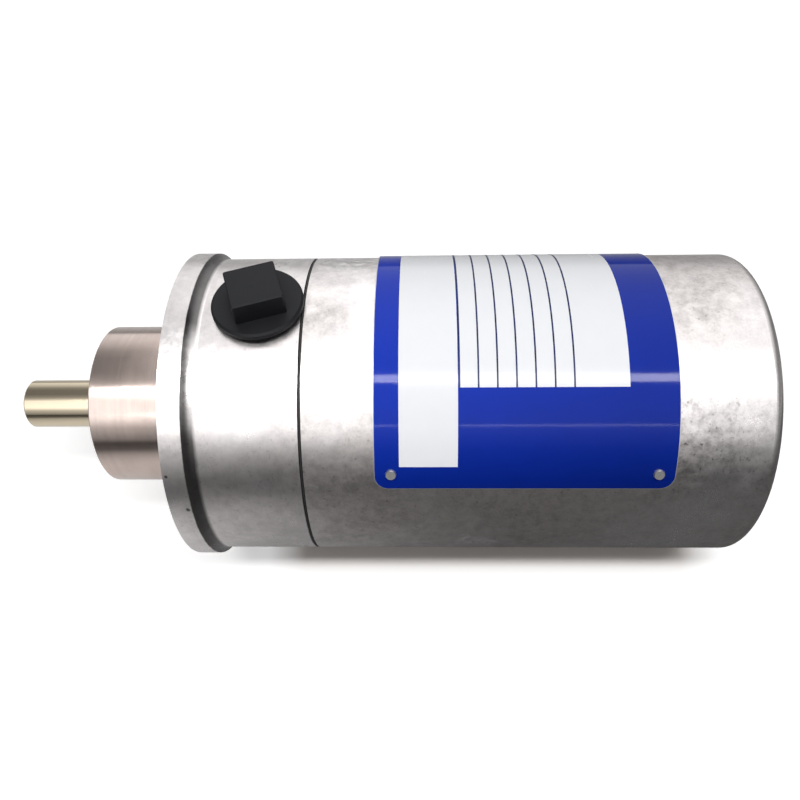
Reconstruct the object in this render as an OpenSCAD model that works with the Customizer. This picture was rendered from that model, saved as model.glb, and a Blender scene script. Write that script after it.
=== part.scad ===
// Shaft-driven position sensor: a round flanged housing with a screwed cover.
// The input shaft turns a reverted gear train, and the train turns a potentiometer
// whose signal the transmitter board sends out.
// The origin is on the shaft axis at the mounting face. +X runs into the housing,
// and +Z runs out through the conduit entry.

/* [Housing] */
// Outside diameter of the base and of the cover
body_d = 95.25; // [88:0.25:104]
// How far the clamping rim stands out over the base
rim_step = 1.9; // [1.2:0.05:3]
// Thickness of the clamping rim
rim_t = 6.35; // [5:0.05:8]
// Width of the cove behind the rim
cove_w = 3.65; // [3:0.05:5]
// Length of the base from the mounting face to the cover seam
base_len = 37.8; // [37:0.1:40]
// Thickness of the base floor behind the mounting face
floor_t = 12.7; // [11:0.1:13]
// Wall of the spigot that the cover screws onto
spigot_wall = 5.1; // [4:0.1:5.5]
// Length of the spigot beyond the seam
spigot_len = 14.2; // [12:0.1:15]
// Bolt circle of the tapped mounting holes
mount_pcd = 76.2; // [72:0.1:80]
// Diameter of the tapped mounting holes
mount_hole_d = 5.1; // [4.2:0.1:5.6]
// Depth of the tapped mounting holes
mount_hole_depth = 9.5; // [7:0.1:10]

/* [Cover] */
// Length of the cover from its open end to its closed end
cover_len = 129.7; // [128:0.1:150]
// Thickness of the cover wall
cover_wall = 4.5; // [3.8:0.05:5]
// Thickness of the closed end
cover_end_t = 5; // [3:0.1:8]
// Radius round the closed end
cover_edge_r = 2.9; // [1:0.1:4.5]
// Width of the seal seen in the seam
seam_w = 0.9; // [0.6:0.05:1.5]

/* [Pilot and shaft] */
// Diameter of the pilot boss
pilot_d = 51.6; // [50:0.1:54]
// Length of the pilot boss in front of the mounting face
pilot_len = 30.05; // [30:0.05:36]
// Step in radius from the pilot boss down to the hub that passes through the base floor
hub_step = 3.85; // [2.6:0.05:4.8]
// Wall of the locknut that holds the hub
nut_wall = 4.05; // [3.6:0.05:4.6]
// Diameter of the input shaft outside
shaft_d = 15.875; // [15.5:0.025:17]
// Length of the input shaft in front of the pilot boss
shaft_out = 30.2; // [25:0.1:45]
// Chamfer at the tip of the input shaft
shaft_chamfer = 0.6; // [0.2:0.1:1.5]
// Diameter of the shaft where it carries the drive pinion
gear_seat_d = 8; // [7:0.1:9]

/* [Bearings] */
// Bore of the two ball bearings
bearing_bore = 15; // [14.5:0.1:15.3]
// Outside diameter of the two ball bearings
bearing_od = 35; // [34:0.1:37]
// Width of each ball bearing
bearing_w = 11; // [10:0.1:11.5]
// Distance between the two ball bearings
bearing_gap = 11; // [8:0.1:11.5]
// Diameter of the bearing balls
ball_d = 6; // [5:0.1:6.4]
// Number of balls in each bearing
ball_count = 8; // [6:1:9]

/* [Conduit plug] */
// Distance of the conduit entry from the mounting face
conduit_x = 25.6; // [25:0.1:27]
// Diameter of the tapped conduit entry
conduit_d = 20.8; // [18:0.1:21.2]
// Diameter of the plug's flange
plug_flange_d = 26; // [24:0.1:26]
// Thickness of the plug's flange
plug_flange_t = 2.45; // [1.5:0.05:4]
// Width across the flats of the plug's square head
plug_flats = 14.3; // [10:0.1:16]
// Height of the plug's square head above its flange
plug_head_h = 6.6; // [4:0.1:10]
// Radius of the square head's edges
plug_edge = 0.6; // [0.2:0.05:1.2]
// Angle of the square head about its own axis
plug_turn = 18.2; // [0:0.1:45]

/* [Nameplate] */
// Distance of the nameplate from the mounting face
plate_x = 58.4; // [50:0.1:62]
// Length of the nameplate along the housing
plate_len = 82; // [60:0.1:90]
// Angle that the nameplate covers round the cover
plate_sweep = 129; // [90:1:150]
// Thickness of the nameplate
plate_t = 0.5; // [0.3:0.05:1]
// Corner radius of the nameplate
plate_corner_r = 4; // [1:0.1:6]
// Distance of the drive pins from the nameplate's edges
pin_inset = 4.6; // [3:0.1:8]
// Head diameter of the drive pins
pin_head_d = 3.1; // [2.2:0.1:4]

/* [Gear train] */
// Module of all gears
gear_module = 0.7; // [0.65:0.01:0.75]
// Teeth of the drive pinion on the input shaft
drive_teeth = 20; // [18:2:22]
// Teeth of the idler wheel
idler_teeth = 40; // [36:2:40]
// Teeth of the idler pinion
idler_pinion_teeth = 16; // [14:2:18]
// Width of the drive pinion
drive_face = 6; // [5:0.1:6.5]
// Width of each half of the split wheel
half_face = 2.2; // [1.8:0.1:2.6]
// Thickness of the two gear plates
gear_plate_t = 3; // [2:0.1:4]
// Length of the split wheel's hub behind its teeth
split_hub_len = 4.5; // [4:0.1:6]
// Diameter of the idler shaft
idler_shaft_d = 5; // [4:0.1:6]
// Angle of the idler shaft from the conduit entry
idler_angle = -40; // [-60:1:-20]

/* [Standoffs] */
// Width of the standoffs across their flats
post_flats = 6; // [5:0.1:6.5]

/* [Potentiometer] */
// Diameter of the potentiometer
pot_d = 50.8; // [46:0.1:55]
// Length of the potentiometer
pot_len = 34; // [28:0.1:38]
// Diameter of the potentiometer's shaft
pot_shaft_d = 6.35; // [5:0.05:7]

/* [Transmitter board] */
// Room for the leads between the potentiometer's turrets and the board
lead_room = 9; // [7:0.1:14]
// Diameter of the board
board_d = 76; // [74:0.5:80]
// Thickness of the board
board_t = 1.6; // [1:0.1:2.4]
// Number of terminals
terminal_count = 6; // [4:1:6]
// Distance between neighbouring terminals
terminal_pitch = 8; // [7:0.1:8.6]

/* [Hidden] */
$fn = 96;
eps = 0.02;
run_gap = 0.05;
slip_gap = 0.3;
seat_gap = 0.05;
thread_gap = 0.525;

body_r = body_d / 2;
rim_r = body_r + rim_step;
cover_in_r = body_r - cover_wall;
spigot_r = cover_in_r - thread_gap;
spigot_end = base_len + spigot_len;
cavity_r = spigot_r - spigot_wall;
rim_edge = 0.4;
cove_r = (cove_w * cove_w + rim_step * rim_step) / (2 * rim_step);
tap_depth = 5;
mount_count = 4;
mount_turn = 45;

cover_x = base_len + seam_w;
relief_r = cover_in_r + 0.8;
relief_x = spigot_end + 1;
relief_len = 2.5;
seal_in_r = spigot_r + eps;
seal_out_r = body_r - 0.5;

shaft_r = shaft_d / 2;
bore_r = bearing_bore / 2;
journal_r = (shaft_r + bore_r) / 2;
gear_seat_r = gear_seat_d / 2;
neck_step = 1.5;
neck_r = gear_seat_r + neck_step;
race_r = bearing_od / 2;
pilot_r = pilot_d / 2;
pilot_edge = 0.4;
root_r = pilot_r - 0.5;
root_seat_r = pilot_r + 0.1;
root_depth = 2;
hub_r = pilot_r - hub_step;
nut_t = 6;
nut_r = hub_r + nut_wall;
nut_slot_w = 5;
nut_slot_depth = 2.6;
hub_len = floor_t + nut_t + 0.8;
lip_t = 1.5;
seal_t = 4.4;
seal_r = 14;
front_bearing_x = -pilot_len + seal_t + slip_gap + lip_t;
rear_bearing_x = front_bearing_x + bearing_w + bearing_gap;
bearing_end = rear_bearing_x + bearing_w;
ring_t = 1.3;
ring_depth = 1.1;
pitch_r = (bore_r + race_r) / 2;
race_shoulder = ball_d * 0.36;
ball_gap = 0.05;
cage_t = 0.9;
cage_len = ball_d * 1.25;
spacer_t = 1.8;

plug_shank_r = conduit_d / 2 - slip_gap;
plug_shank_len = 12;
plug_bore_r = plug_shank_r - 2.6;
plug_seat = body_r + slip_gap;

front_plate_x = spigot_end - gear_plate_t - 1;
plate_r = cavity_r - 0.5;
post_count = 3;
post_r = (max(pot_d / 2, nut_r) + cavity_r) / 2;
post_start = idler_angle + 60;
notch_angle = post_start + 60;
notch_w = 14;
notch_depth = 9;
board_notch = 6;
post_hole_r = 1.6;
post_tap = 7;

centre_gap = gear_module * (drive_teeth + idler_teeth) / 2;
split_teeth = drive_teeth + idler_teeth - idler_pinion_teeth;
pressure_angle = 20;
tip_share = 0.92;
root_share = 1.12;
backlash = 0.06;
stage_gap = 2.6;
drive_x = front_plate_x + gear_plate_t + stage_gap;
drive_hub_t = 1;
drive_hub_r = gear_seat_r + 2.1;
idler_hub_t = 1.6;
idler_face = drive_face - 1.5;
spoke_hole_r = 2;
split_x = drive_x + drive_face + stage_gap;
split_gap = 0.12;
split_len = 2 * half_face + split_gap;
ring_room = 1.2;
shaft_end = drive_x + drive_face + 0.6;
rear_plate_x = split_x + split_len + split_hub_len + 0.8;
gear_space = rear_plate_x - front_plate_x - gear_plate_t;
pot_x = rear_plate_x + gear_plate_t;
idler_r = idler_shaft_d / 2;
bush_wall = 1.7;
bush_lip = 1.3;
bush_r = idler_r + bush_wall;
bush_flange_r = bush_r + bush_lip;
bush_flange_t = 1;
idler_hub_r = idler_r + 3.5;
set_screw_r = 1.25;
key_flats = 1.3;
key_depth = 1;
window_r = 11.2;
window_len = 11;
window_w = 3.6;
spring_r = 1.2;
spring_wire = 0.45;

pot_r = pot_d / 2;
pot_shaft_r = pot_shaft_d / 2;
split_hub_r = pot_shaft_r + 3.2;
pot_shaft_depth = 10;
pot_rim_t = 2.4;
pot_groove_w = 2;
pot_groove_r = pot_r - 1.6;
pot_boss_r = pot_shaft_r + 3.2;
pot_cap_t = 5;
clamp_r = pot_r + 3.4;
clamp_t = 1.9;
clamp_count = 3;
clamp_start = post_start + 45;
clamp_hole_r = 1.3;
turret_r = 1.1;
turret_len = 5;
turret_pitch = 7;
turret_z = 12;
lead_r = 0.75;
lead_rise = 6;

board_r = board_d / 2;
board_x = pot_x + pot_len + turret_len + lead_room;
board_face = board_x + board_t + eps;
terminal_base_w = 18;
terminal_base_h = 7;
terminal_rib_h = 12.5;
terminal_rib_t = 1.4;
terminal_len = terminal_count * terminal_pitch + terminal_rib_t;
terminal_z = -11;
terminal_screw_r = 1.5;
terminal_screw_len = 5;
terminal_head_r = 2.8;
terminal_head_h = 2.1;
terminal_plate_t = 0.8;
terminal_margin = 0.6;
trimmer_w = 9.6;
trimmer_h = 5;
trimmer_y = 12;
trimmer_z = 9;
trimmer_screw_r = 1.6;
trimmer_depth = 2;
cap_r = 5;
cap_h = 14;
cap_z = 22;
leg_pitch = 2.54;
leg_w = 0.7;
chip_t = 3;
chip_w = 6.4;
chip_lift = 0.6;
chip_y = -2;
long_chip_z = -8;
low_chip_z = -22;
side_chip_y = -20;
side_chip_z = 4;
regulator_y = 26;
regulator_z = 6;
regulator_w = 10;
regulator_t = 4.4;
regulator_h = 9;
tab_h = 15;
tab_t = 1.2;
leg_h = 4;
resistor_len = 6.4;
resistor_r = 1.3;
resistor_lift = 2.2;
resistor_y = -31;
resistor_z = 7;
resistor_pitch = 4;

plate_in_r = body_r + eps;
pin_head_h = 0.8;
pin_shank_r = 0.95;
pin_shank_len = 3;

function involute(a) = tan(a) * 180 / PI - a;
function flank(r, base_r, pitch_half) =
    pitch_half + involute(pressure_angle) - involute(acos(min(1, base_r / max(r, base_r))));
function tooth(n, i, tip_r, root_r, base_r, pitch_half) = [
    for (k = [0:3]) let (r = root_r + (tip_r - root_r) * k / 3)
        [r, i * 360 / n - flank(r, base_r, pitch_half)],
    for (k = [3:-1:0]) let (r = root_r + (tip_r - root_r) * k / 3)
        [r, i * 360 / n + flank(r, base_r, pitch_half)]
];
function bend_at(p, t) = pow(1 - t, 3) * p[0] + 3 * pow(1 - t, 2) * t * p[1]
    + 3 * (1 - t) * t * t * p[2] + t * t * t * p[3];
function bend_dir(p, t) = pow(1 - t, 2) * (p[1] - p[0]) + 2 * (1 - t) * t * (p[2] - p[1])
    + t * t * (p[3] - p[2]);

// Puts a shape drawn upright onto the shaft axis, with its foot at x.
// Its own x and y become Y and Z.
module on_axis(x) {
    translate([x, 0, 0]) rotate([90, 0, 90]) children();
}

// Puts a shape at a radius, with its own y outwards. Angles run from +Z towards +Y.
module at_ring(r, angle) {
    rotate(-angle) translate([0, r, 0]) children();
}

module round_axis(r, count, first) {
    for (i = [0:count - 1]) at_ring(r, first + i * 360 / count) children();
}

module tube(outer_r, inner_r, len) {
    difference() {
        cylinder(r = outer_r, h = len);
        translate([0, 0, -eps]) cylinder(r = inner_r, h = len + 2 * eps);
    }
}

module hex_bar(flats, len) {
    cylinder(r = flats / sqrt(3), h = len, $fn = 6);
}

// Set screw that stands on its point, with a hex socket in its outer end.
module set_screw(len) {
    difference() {
        cylinder(r = set_screw_r, h = len, $fn = 32);
        translate([0, 0, len - key_depth]) hex_bar(key_flats, 2 * key_depth);
    }
}

// A cylinder with both ends chamfered.
module bar(r, len, chamfer) {
    rotate_extrude() polygon([
        [0, 0], [r - chamfer, 0], [r, chamfer], [r, len - chamfer],
        [r - chamfer, len], [0, len]
    ]);
}

// Pan head with a shank below it and a driving slot.
module pan_screw(head_r, head_h, shank_r, shank_len) {
    difference() {
        union() {
            cylinder(r = head_r, h = head_h * 0.6);
            translate([0, 0, head_h * 0.6 - eps])
                cylinder(r1 = head_r, r2 = head_r * 0.72, h = head_h * 0.4);
            translate([0, 0, -shank_len]) cylinder(r = shank_r, h = shank_len + eps);
        }
        translate([-head_r, -head_r * 0.13, head_h * 0.5])
            cube([2 * head_r, head_r * 0.26, head_h]);
    }
}

// Spur gear with involute flanks and no bore, drawn with a tooth on its own x axis.
module spur(n, face) {
    pitch_r = gear_module * n / 2;
    outline = [
        for (i = [0:n - 1]) each tooth(n, i, pitch_r + gear_module * tip_share,
            pitch_r - gear_module * root_share, pitch_r * cos(pressure_angle),
            90 / n - backlash / pitch_r * 90 / PI)
    ];
    linear_extrude(face) polygon([for (p = outline) p[0] * [cos(p[1]), sin(p[1])]]);
}

// A ring with a gap and two ears, as it snaps into a groove.
module snap_ring(outer_r, inner_r, gap, ear_r, ear_at) {
    difference() {
        union() {
            tube(outer_r, inner_r, ring_t);
            for (s = [-1, 1]) translate([s * (gap / 2 + ear_r), ear_at, 0])
                cylinder(r = ear_r, h = ring_t, $fn = 32);
        }
        translate([-gap / 2, 0, -eps]) cube([gap, outer_r + ear_r * 2, ring_t + 2 * eps]);
        for (s = [-1, 1]) translate([s * (gap / 2 + ear_r), ear_at, -eps])
            cylinder(r = ear_r * 0.4, h = ring_t + 2 * eps, $fn = 24);
    }
}

module base_outline() {
    rotate_extrude() polygon([
        [0, 0], [rim_r - rim_edge, 0], [rim_r, rim_edge], [rim_r, rim_t],
        [0, rim_t]
    ]);
    difference() {
        cylinder(r = rim_r, h = rim_t + cove_w);
        translate([0, 0, rim_t + cove_w]) rotate_extrude()
            translate([body_r + cove_r, 0]) circle(r = cove_r);
    }
    cylinder(r = body_r, h = base_len);
    cylinder(r = spigot_r, h = spigot_end);
}

// Hole in the base floor for a standoff's stud or for the ground screw.
module tapped_hole() {
    translate([0, 0, floor_t - tap_depth])
        cylinder(r = post_hole_r, h = tap_depth + 1, $fn = 32);
}

module base_housing() {
    color("silver") difference() {
        on_axis(0) difference() {
            base_outline();
            translate([0, 0, floor_t]) cylinder(r = cavity_r, h = spigot_end);
            translate([0, 0, -eps]) cylinder(r = hub_r + seat_gap, h = floor_t + 2 * eps);
            translate([0, 0, -eps]) cylinder(r = root_seat_r, h = root_depth + eps);
            round_axis(mount_pcd / 2, mount_count, mount_turn)
                translate([0, 0, -eps]) cylinder(r = mount_hole_d / 2, h = mount_hole_depth);
            round_axis(post_r, post_count, post_start) tapped_hole();
            at_ring(post_r, notch_angle) tapped_hole();
        }
        translate([conduit_x, 0, 0]) cylinder(r = conduit_d / 2, h = body_d);
    }
}

module pilot_hub() {
    color("rosybrown") on_axis(-pilot_len) difference() {
        rotate_extrude() polygon([
            [0, 0], [pilot_r - pilot_edge, 0], [pilot_r, pilot_edge],
            [pilot_r, pilot_len - pilot_edge], [root_r, pilot_len - pilot_edge],
            [root_r, pilot_len + root_depth], [hub_r, pilot_len + root_depth],
            [hub_r, pilot_len + hub_len], [0, pilot_len + hub_len]
        ]);
        translate([0, 0, -eps]) cylinder(r = seal_r + seat_gap, h = seal_t + slip_gap + eps);
        cylinder(r = shaft_r + 1.6, h = pilot_len);
        translate([0, 0, front_bearing_x + pilot_len])
            cylinder(r = race_r + seat_gap / 2, h = pilot_len + hub_len);
        translate([0, 0, bearing_end + pilot_len + seat_gap])
            cylinder(r = race_r + ring_depth, h = ring_t + 2 * seat_gap);
    }
}

module hub_locknut() {
    color("gray") on_axis(floor_t) difference() {
        tube(nut_r, hub_r + seat_gap, nut_t);
        for (a = [45:90:315]) rotate(a)
            translate([nut_r - nut_slot_depth, -nut_slot_w / 2, -eps])
                cube([2 * nut_slot_depth, nut_slot_w, nut_t + 2 * eps]);
    }
}

module shaft_seal() {
    color("black") on_axis(-pilot_len + slip_gap) difference() {
        cylinder(r = seal_r, h = seal_t);
        translate([0, 0, -eps]) cylinder(r = journal_r + run_gap, h = seal_t + 2 * eps);
        translate([0, 0, -eps]) tube(seal_r - 2, journal_r + 1.5, 0.7);
    }
}

// One bearing's ring between two radii, with a groove that the balls run in.
module race(outer_r, inner_r) {
    difference() {
        tube(outer_r, inner_r, bearing_w);
        translate([0, 0, bearing_w / 2]) rotate_extrude()
            translate([pitch_r, 0]) circle(r = ball_d / 2 + ball_gap);
    }
}

module outer_bearing_rings() {
    color("lightgray") for (x = [front_bearing_x, rear_bearing_x])
        on_axis(x) race(race_r, pitch_r + race_shoulder);
}

module inner_bearing_rings() {
    color("lightgray") for (x = [front_bearing_x, rear_bearing_x])
        on_axis(x) race(pitch_r - race_shoulder, bore_r + eps / 2);
}

module bearing_balls() {
    color("white") for (x = [front_bearing_x, rear_bearing_x])
        on_axis(x + bearing_w / 2) round_axis(pitch_r, ball_count, 0)
            sphere(r = ball_d / 2, $fn = 32);
}

module bearing_cages() {
    color("goldenrod") for (x = [front_bearing_x, rear_bearing_x])
        on_axis(x + (bearing_w - cage_len) / 2) difference() {
            tube(pitch_r + cage_t, pitch_r - cage_t, cage_len);
            for (i = [0:ball_count - 1]) rotate(-i * 360 / ball_count)
                translate([0, pitch_r - ball_d / 2, cage_len / 2]) rotate([-90, 0, 0])
                    cylinder(r = ball_d / 2 + ball_gap, h = ball_d, $fn = 48);
        }
}

module outer_spacer() {
    color("silver") on_axis(front_bearing_x + bearing_w)
        tube(race_r, race_r - spacer_t, bearing_gap);
}

module inner_spacer() {
    color("silver") on_axis(front_bearing_x + bearing_w)
        tube(bore_r + spacer_t, bore_r + eps / 2, bearing_gap);
}

module hub_retaining_ring() {
    color("dimgray") on_axis(bearing_end + seat_gap * 2)
        snap_ring(race_r + ring_depth - 0.1, race_r - 1.5, 7, 1.6, race_r - 2.6);
}

module shaft_retaining_ring() {
    color("dimgray") on_axis(bearing_end + seat_gap)
        snap_ring(bore_r + 1.7, bore_r - ring_depth + 0.1, 5, 1.1, bore_r + 1.3);
}

module input_shaft() {
    tip_x = -pilot_len - shaft_out;
    profile = [
        [0, tip_x], [shaft_r - shaft_chamfer, tip_x], [shaft_r, tip_x + shaft_chamfer],
        [shaft_r, -pilot_len - slip_gap], [journal_r, -pilot_len - slip_gap],
        [journal_r, front_bearing_x], [bore_r, front_bearing_x],
        [bore_r, bearing_end + 4], [neck_r, bearing_end + 5],
        [neck_r, drive_x - drive_hub_t], [gear_seat_r, drive_x - drive_hub_t],
        [gear_seat_r, shaft_end], [0, shaft_end]
    ];
    color("lightsteelblue") on_axis(tip_x) difference() {
        rotate_extrude() polygon([for (p = profile) [p[0], p[1] - tip_x]]);
        translate([0, 0, bearing_end - tip_x])
            tube(bore_r + 1, bore_r - ring_depth, ring_t + 2 * seat_gap);
    }
}

module drive_pinion() {
    color("silver") on_axis(drive_x) difference() {
        union() {
            rotate(90 - idler_angle) spur(drive_teeth, drive_face);
            translate([0, 0, -drive_hub_t]) cylinder(r = drive_hub_r, h = drive_hub_t + eps);
        }
        translate([0, 0, -2 * drive_hub_t])
            cylinder(r = gear_seat_r + eps / 2, h = drive_face + 3 * drive_hub_t);
        rotate(-idler_angle) translate([0, 0, drive_face / 2]) rotate([-90, 0, 0])
            cylinder(r = set_screw_r + eps, h = gear_module * drive_teeth, $fn = 32);
    }
}

module drive_set_screw() {
    root = gear_module * (drive_teeth / 2 - root_share);
    color("dimgray") on_axis(drive_x + drive_face / 2) rotate(-idler_angle)
        rotate([-90, 0, 0]) translate([0, 0, gear_seat_r + eps])
            set_screw(root - gear_seat_r - slip_gap);
}

module cover_seal() {
    color("black") on_axis(base_len + eps)
        tube(seal_out_r, seal_in_r, seam_w - 2 * eps);
}

module cover() {
    color("gainsboro") difference() {
        on_axis(cover_x) difference() {
            union() {
                cylinder(r = body_r, h = cover_len - cover_edge_r);
                cylinder(r = body_r - cover_edge_r, h = cover_len);
                translate([0, 0, cover_len - cover_edge_r]) rotate_extrude()
                    translate([body_r - cover_edge_r, 0]) circle(r = cover_edge_r);
            }
            translate([0, 0, -eps]) cylinder(r = cover_in_r, h = cover_len - cover_end_t);
            translate([0, 0, relief_x - cover_x]) cylinder(r = relief_r, h = relief_len);
        }
        nameplate_corners() translate([0, 0, body_r - pin_shank_len - 0.3])
            cylinder(r = pin_shank_r + seat_gap, h = 6, $fn = 32);
    }
}

// Repeats a shape at the four drive pins. The shape's +Z runs outwards.
module nameplate_corners() {
    turn = plate_sweep / 2 - pin_inset / body_r * 180 / PI;
    for (x = [plate_x + pin_inset, plate_x + plate_len - pin_inset], a = [-turn, turn])
        translate([x, 0, 0]) rotate([a, 0, 0]) children();
}

// What is cut away at one rounded corner of the nameplate. The two signs pick the corner.
module corner_waste(end, side) {
    turn = side * (plate_sweep / 2 - plate_corner_r / body_r * 180 / PI);
    reach = plate_corner_r + 1;
    translate([plate_x + plate_len / 2 + end * (plate_len / 2 - plate_corner_r), 0, 0])
        rotate([turn, 0, 0]) translate([end * reach / 2, -side * reach / 2, body_r]) difference() {
            cube([reach, reach, 6], center = true);
            translate([-end * reach / 2, side * reach / 2, 0])
                cylinder(r = plate_corner_r + eps, h = 8, center = true);
        }
}

module nameplate() {
    color("mediumblue") difference() {
        on_axis(plate_x) rotate(90 - plate_sweep / 2) rotate_extrude(angle = plate_sweep)
            translate([plate_in_r, 0]) square([plate_t, plate_len]);
        for (end = [-1, 1], side = [-1, 1]) corner_waste(end, side);
        nameplate_corners() translate([0, 0, body_r - 2])
            cylinder(r = pin_shank_r + seat_gap, h = 6, $fn = 32);
    }
}

module nameplate_pins() {
    color("silver") nameplate_corners() {
        translate([0, 0, plate_in_r + plate_t + 0.04]) difference() {
            sphere(r = pin_head_d / 2);
            translate([0, 0, -pin_head_d]) cube(2 * pin_head_d, center = true);
            translate([-pin_head_d, -pin_head_d, pin_head_h]) cube(2 * pin_head_d);
        }
        translate([0, 0, body_r - pin_shank_len])
            cylinder(r = pin_shank_r, h = pin_shank_len + plate_t + 0.1, $fn = 32);
    }
}

// Square head with rounded corners and broken top edges, that stands on the flange.
module plug_head() {
    reach = plug_flats / 2 - plug_edge;
    hull() for (x = [-reach, reach], y = [-reach, reach])
        translate([x, y, -plug_edge]) bar(plug_edge, plug_head_h + plug_edge, plug_edge / 2, $fn = 24);
}

module conduit_plug() {
    color("#222326") translate([conduit_x, 0, plug_seat]) difference() {
        union() {
            bar(plug_flange_d / 2, plug_flange_t, plug_edge);
            rotate(plug_turn) translate([0, 0, plug_flange_t]) plug_head();
            translate([0, 0, -plug_shank_len]) cylinder(r = plug_shank_r, h = plug_shank_len + eps);
        }
        translate([0, 0, -plug_shank_len - eps]) cylinder(r = plug_bore_r, h = plug_shank_len);
    }
}

// Round plate with a notch for the field wires and holes for the standoffs.
module gear_plate(centre_r) {
    difference() {
        cylinder(r = plate_r, h = gear_plate_t);
        translate([0, 0, -eps]) cylinder(r = centre_r, h = gear_plate_t + 2 * eps);
        round_axis(post_r, post_count, post_start)
            translate([0, 0, -eps]) cylinder(r = post_hole_r, h = gear_plate_t + 2 * eps, $fn = 32);
        at_ring(centre_gap, idler_angle)
            translate([0, 0, -eps]) cylinder(r = bush_r + eps, h = gear_plate_t + 2 * eps);
        at_ring(plate_r, notch_angle) translate([-notch_w / 2, -notch_depth, -eps])
            cube([notch_w, 2 * notch_depth, gear_plate_t + 2 * eps]);
    }
}

module front_gear_plate() {
    color("lightgray") on_axis(front_plate_x) gear_plate(gear_seat_r + 3);
}

module rear_gear_plate() {
    color("lightgray") on_axis(rear_plate_x) difference() {
        gear_plate(pot_boss_r + 0.1);
        round_axis(clamp_r, clamp_count, clamp_start) translate([0, 0, -eps])
            cylinder(r = clamp_hole_r, h = gear_plate_t + 2 * eps, $fn = 32);
    }
}

// Hex standoff with a threaded stud at its foot and a tapped hole at its head.
module standoff(len, stud) {
    difference() {
        union() {
            hex_bar(post_flats, len);
            translate([0, 0, -stud]) cylinder(r = post_hole_r - seat_gap, h = stud + eps, $fn = 32);
        }
        translate([0, 0, len - post_tap]) cylinder(r = post_hole_r, h = post_tap + 1, $fn = 32);
    }
}

module base_standoffs() {
    color("goldenrod") on_axis(floor_t) round_axis(post_r, post_count, post_start)
        standoff(front_plate_x - floor_t, tap_depth - 0.5);
}

module gear_standoffs() {
    color("goldenrod") on_axis(front_plate_x + gear_plate_t)
        round_axis(post_r, post_count, post_start) standoff(gear_space, gear_plate_t + 3);
}

module board_standoffs() {
    color("goldenrod") on_axis(pot_x) round_axis(post_r, post_count, post_start)
        standoff(board_x - pot_x, gear_plate_t + 3);
}

module idler_bushing() {
    difference() {
        union() {
            cylinder(r = bush_r, h = gear_plate_t + eps);
            translate([0, 0, gear_plate_t]) cylinder(r = bush_flange_r, h = bush_flange_t);
        }
        translate([0, 0, -eps]) cylinder(r = idler_r + run_gap, h = gear_plate_t + bush_flange_t + 1);
    }
}

module idler_bushings() {
    color("peru") {
        on_axis(front_plate_x) at_ring(centre_gap, idler_angle) idler_bushing();
        on_axis(pot_x) mirror([0, 0, 1]) at_ring(centre_gap, idler_angle) idler_bushing();
    }
}

module idler_shaft() {
    color("lightsteelblue") on_axis(front_plate_x + 0.4) at_ring(centre_gap, idler_angle)
        bar(idler_r, 2 * gear_plate_t + gear_space - 0.8, 0.4);
}

module idler_wheel() {
    spoke_r = gear_module * idler_teeth / 2 * 0.62;
    color("gold") on_axis(drive_x) at_ring(centre_gap, idler_angle) difference() {
        union() {
            rotate(-90 + 180 / idler_teeth) spur(idler_teeth, idler_face);
            translate([0, 0, -idler_hub_t]) cylinder(r = idler_hub_r, h = idler_hub_t + eps);
        }
        translate([0, 0, -2 * idler_hub_t])
            cylinder(r = idler_r + eps / 2, h = drive_face + 3 * idler_hub_t);
        for (a = [0:60:300]) rotate(a) translate([spoke_r, 0, -eps])
            cylinder(r = spoke_hole_r, h = drive_face, $fn = 32);
    }
}

module idler_pinion() {
    side_gap = 0.6;
    pinion_x = split_x - side_gap;
    foot = pinion_x - drive_x - idler_face;
    color("silver") on_axis(pinion_x) at_ring(centre_gap, idler_angle) difference() {
        union() {
            rotate(-90 + 180 / idler_pinion_teeth)
                spur(idler_pinion_teeth, split_len + 2 * side_gap);
            translate([0, 0, -foot]) cylinder(r = bush_r, h = foot + eps);
        }
        translate([0, 0, -2 * foot]) cylinder(r = idler_r + eps / 2, h = 3 * foot + 2 * split_len);
    }
}

module split_half(bore) {
    difference() {
        rotate(90 - idler_angle) spur(split_teeth, half_face);
        translate([0, 0, -1]) cylinder(r = bore, h = half_face + 2);
        for (a = [0, 180]) rotate(a) translate([window_r - window_w / 2, -window_len / 2, -eps])
            cube([window_w, window_len, half_face + 2 * eps]);
        for (a = [90, 270]) rotate(a) translate([window_r, 0, -eps])
            cylinder(r = 3, h = half_face + 2 * eps);
    }
}

module split_wheel_fixed() {
    color("gold") on_axis(split_x) difference() {
        union() {
            tube(split_hub_r, pot_shaft_r + eps / 2, split_len + split_hub_len);
            translate([0, 0, half_face + split_gap]) split_half(split_hub_r - eps);
        }
        rotate(-idler_angle) translate([0, 0, split_len + split_hub_len / 2])
            rotate([-90, 0, 0]) cylinder(r = set_screw_r + eps, h = 2 * split_hub_r, $fn = 32);
    }
}

module split_wheel_loose() {
    color("khaki") on_axis(split_x) split_half(split_hub_r + run_gap);
}

module split_wheel_ring() {
    color("dimgray") on_axis(split_x - ring_room + slip_gap)
        tube(split_hub_r + 0.9, pot_shaft_r + eps / 2, ring_room - slip_gap - eps);
}

// Two small extension springs that lie in the windows of the split wheel.
module split_wheel_springs() {
    coils = floor((window_len - 2) / spring_wire / 2);
    color("silver") on_axis(split_x + split_len / 2) for (a = [0, 180]) rotate(a)
        translate([window_r, 0, 0]) rotate([90, 0, 0]) {
            cylinder(r = spring_r - spring_wire, h = window_len - eps, center = true, $fn = 24);
            for (i = [0:coils - 1])
                translate([0, 0, (i - (coils - 1) / 2) * spring_wire * 2])
                    cylinder(r = spring_r, h = spring_wire, center = true, $fn = 24);
        }
}

module pot_shaft() {
    color("lightsteelblue") on_axis(split_x - ring_room)
        bar(pot_shaft_r, pot_x + pot_shaft_depth - split_x + ring_room, 0.3);
}

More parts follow.
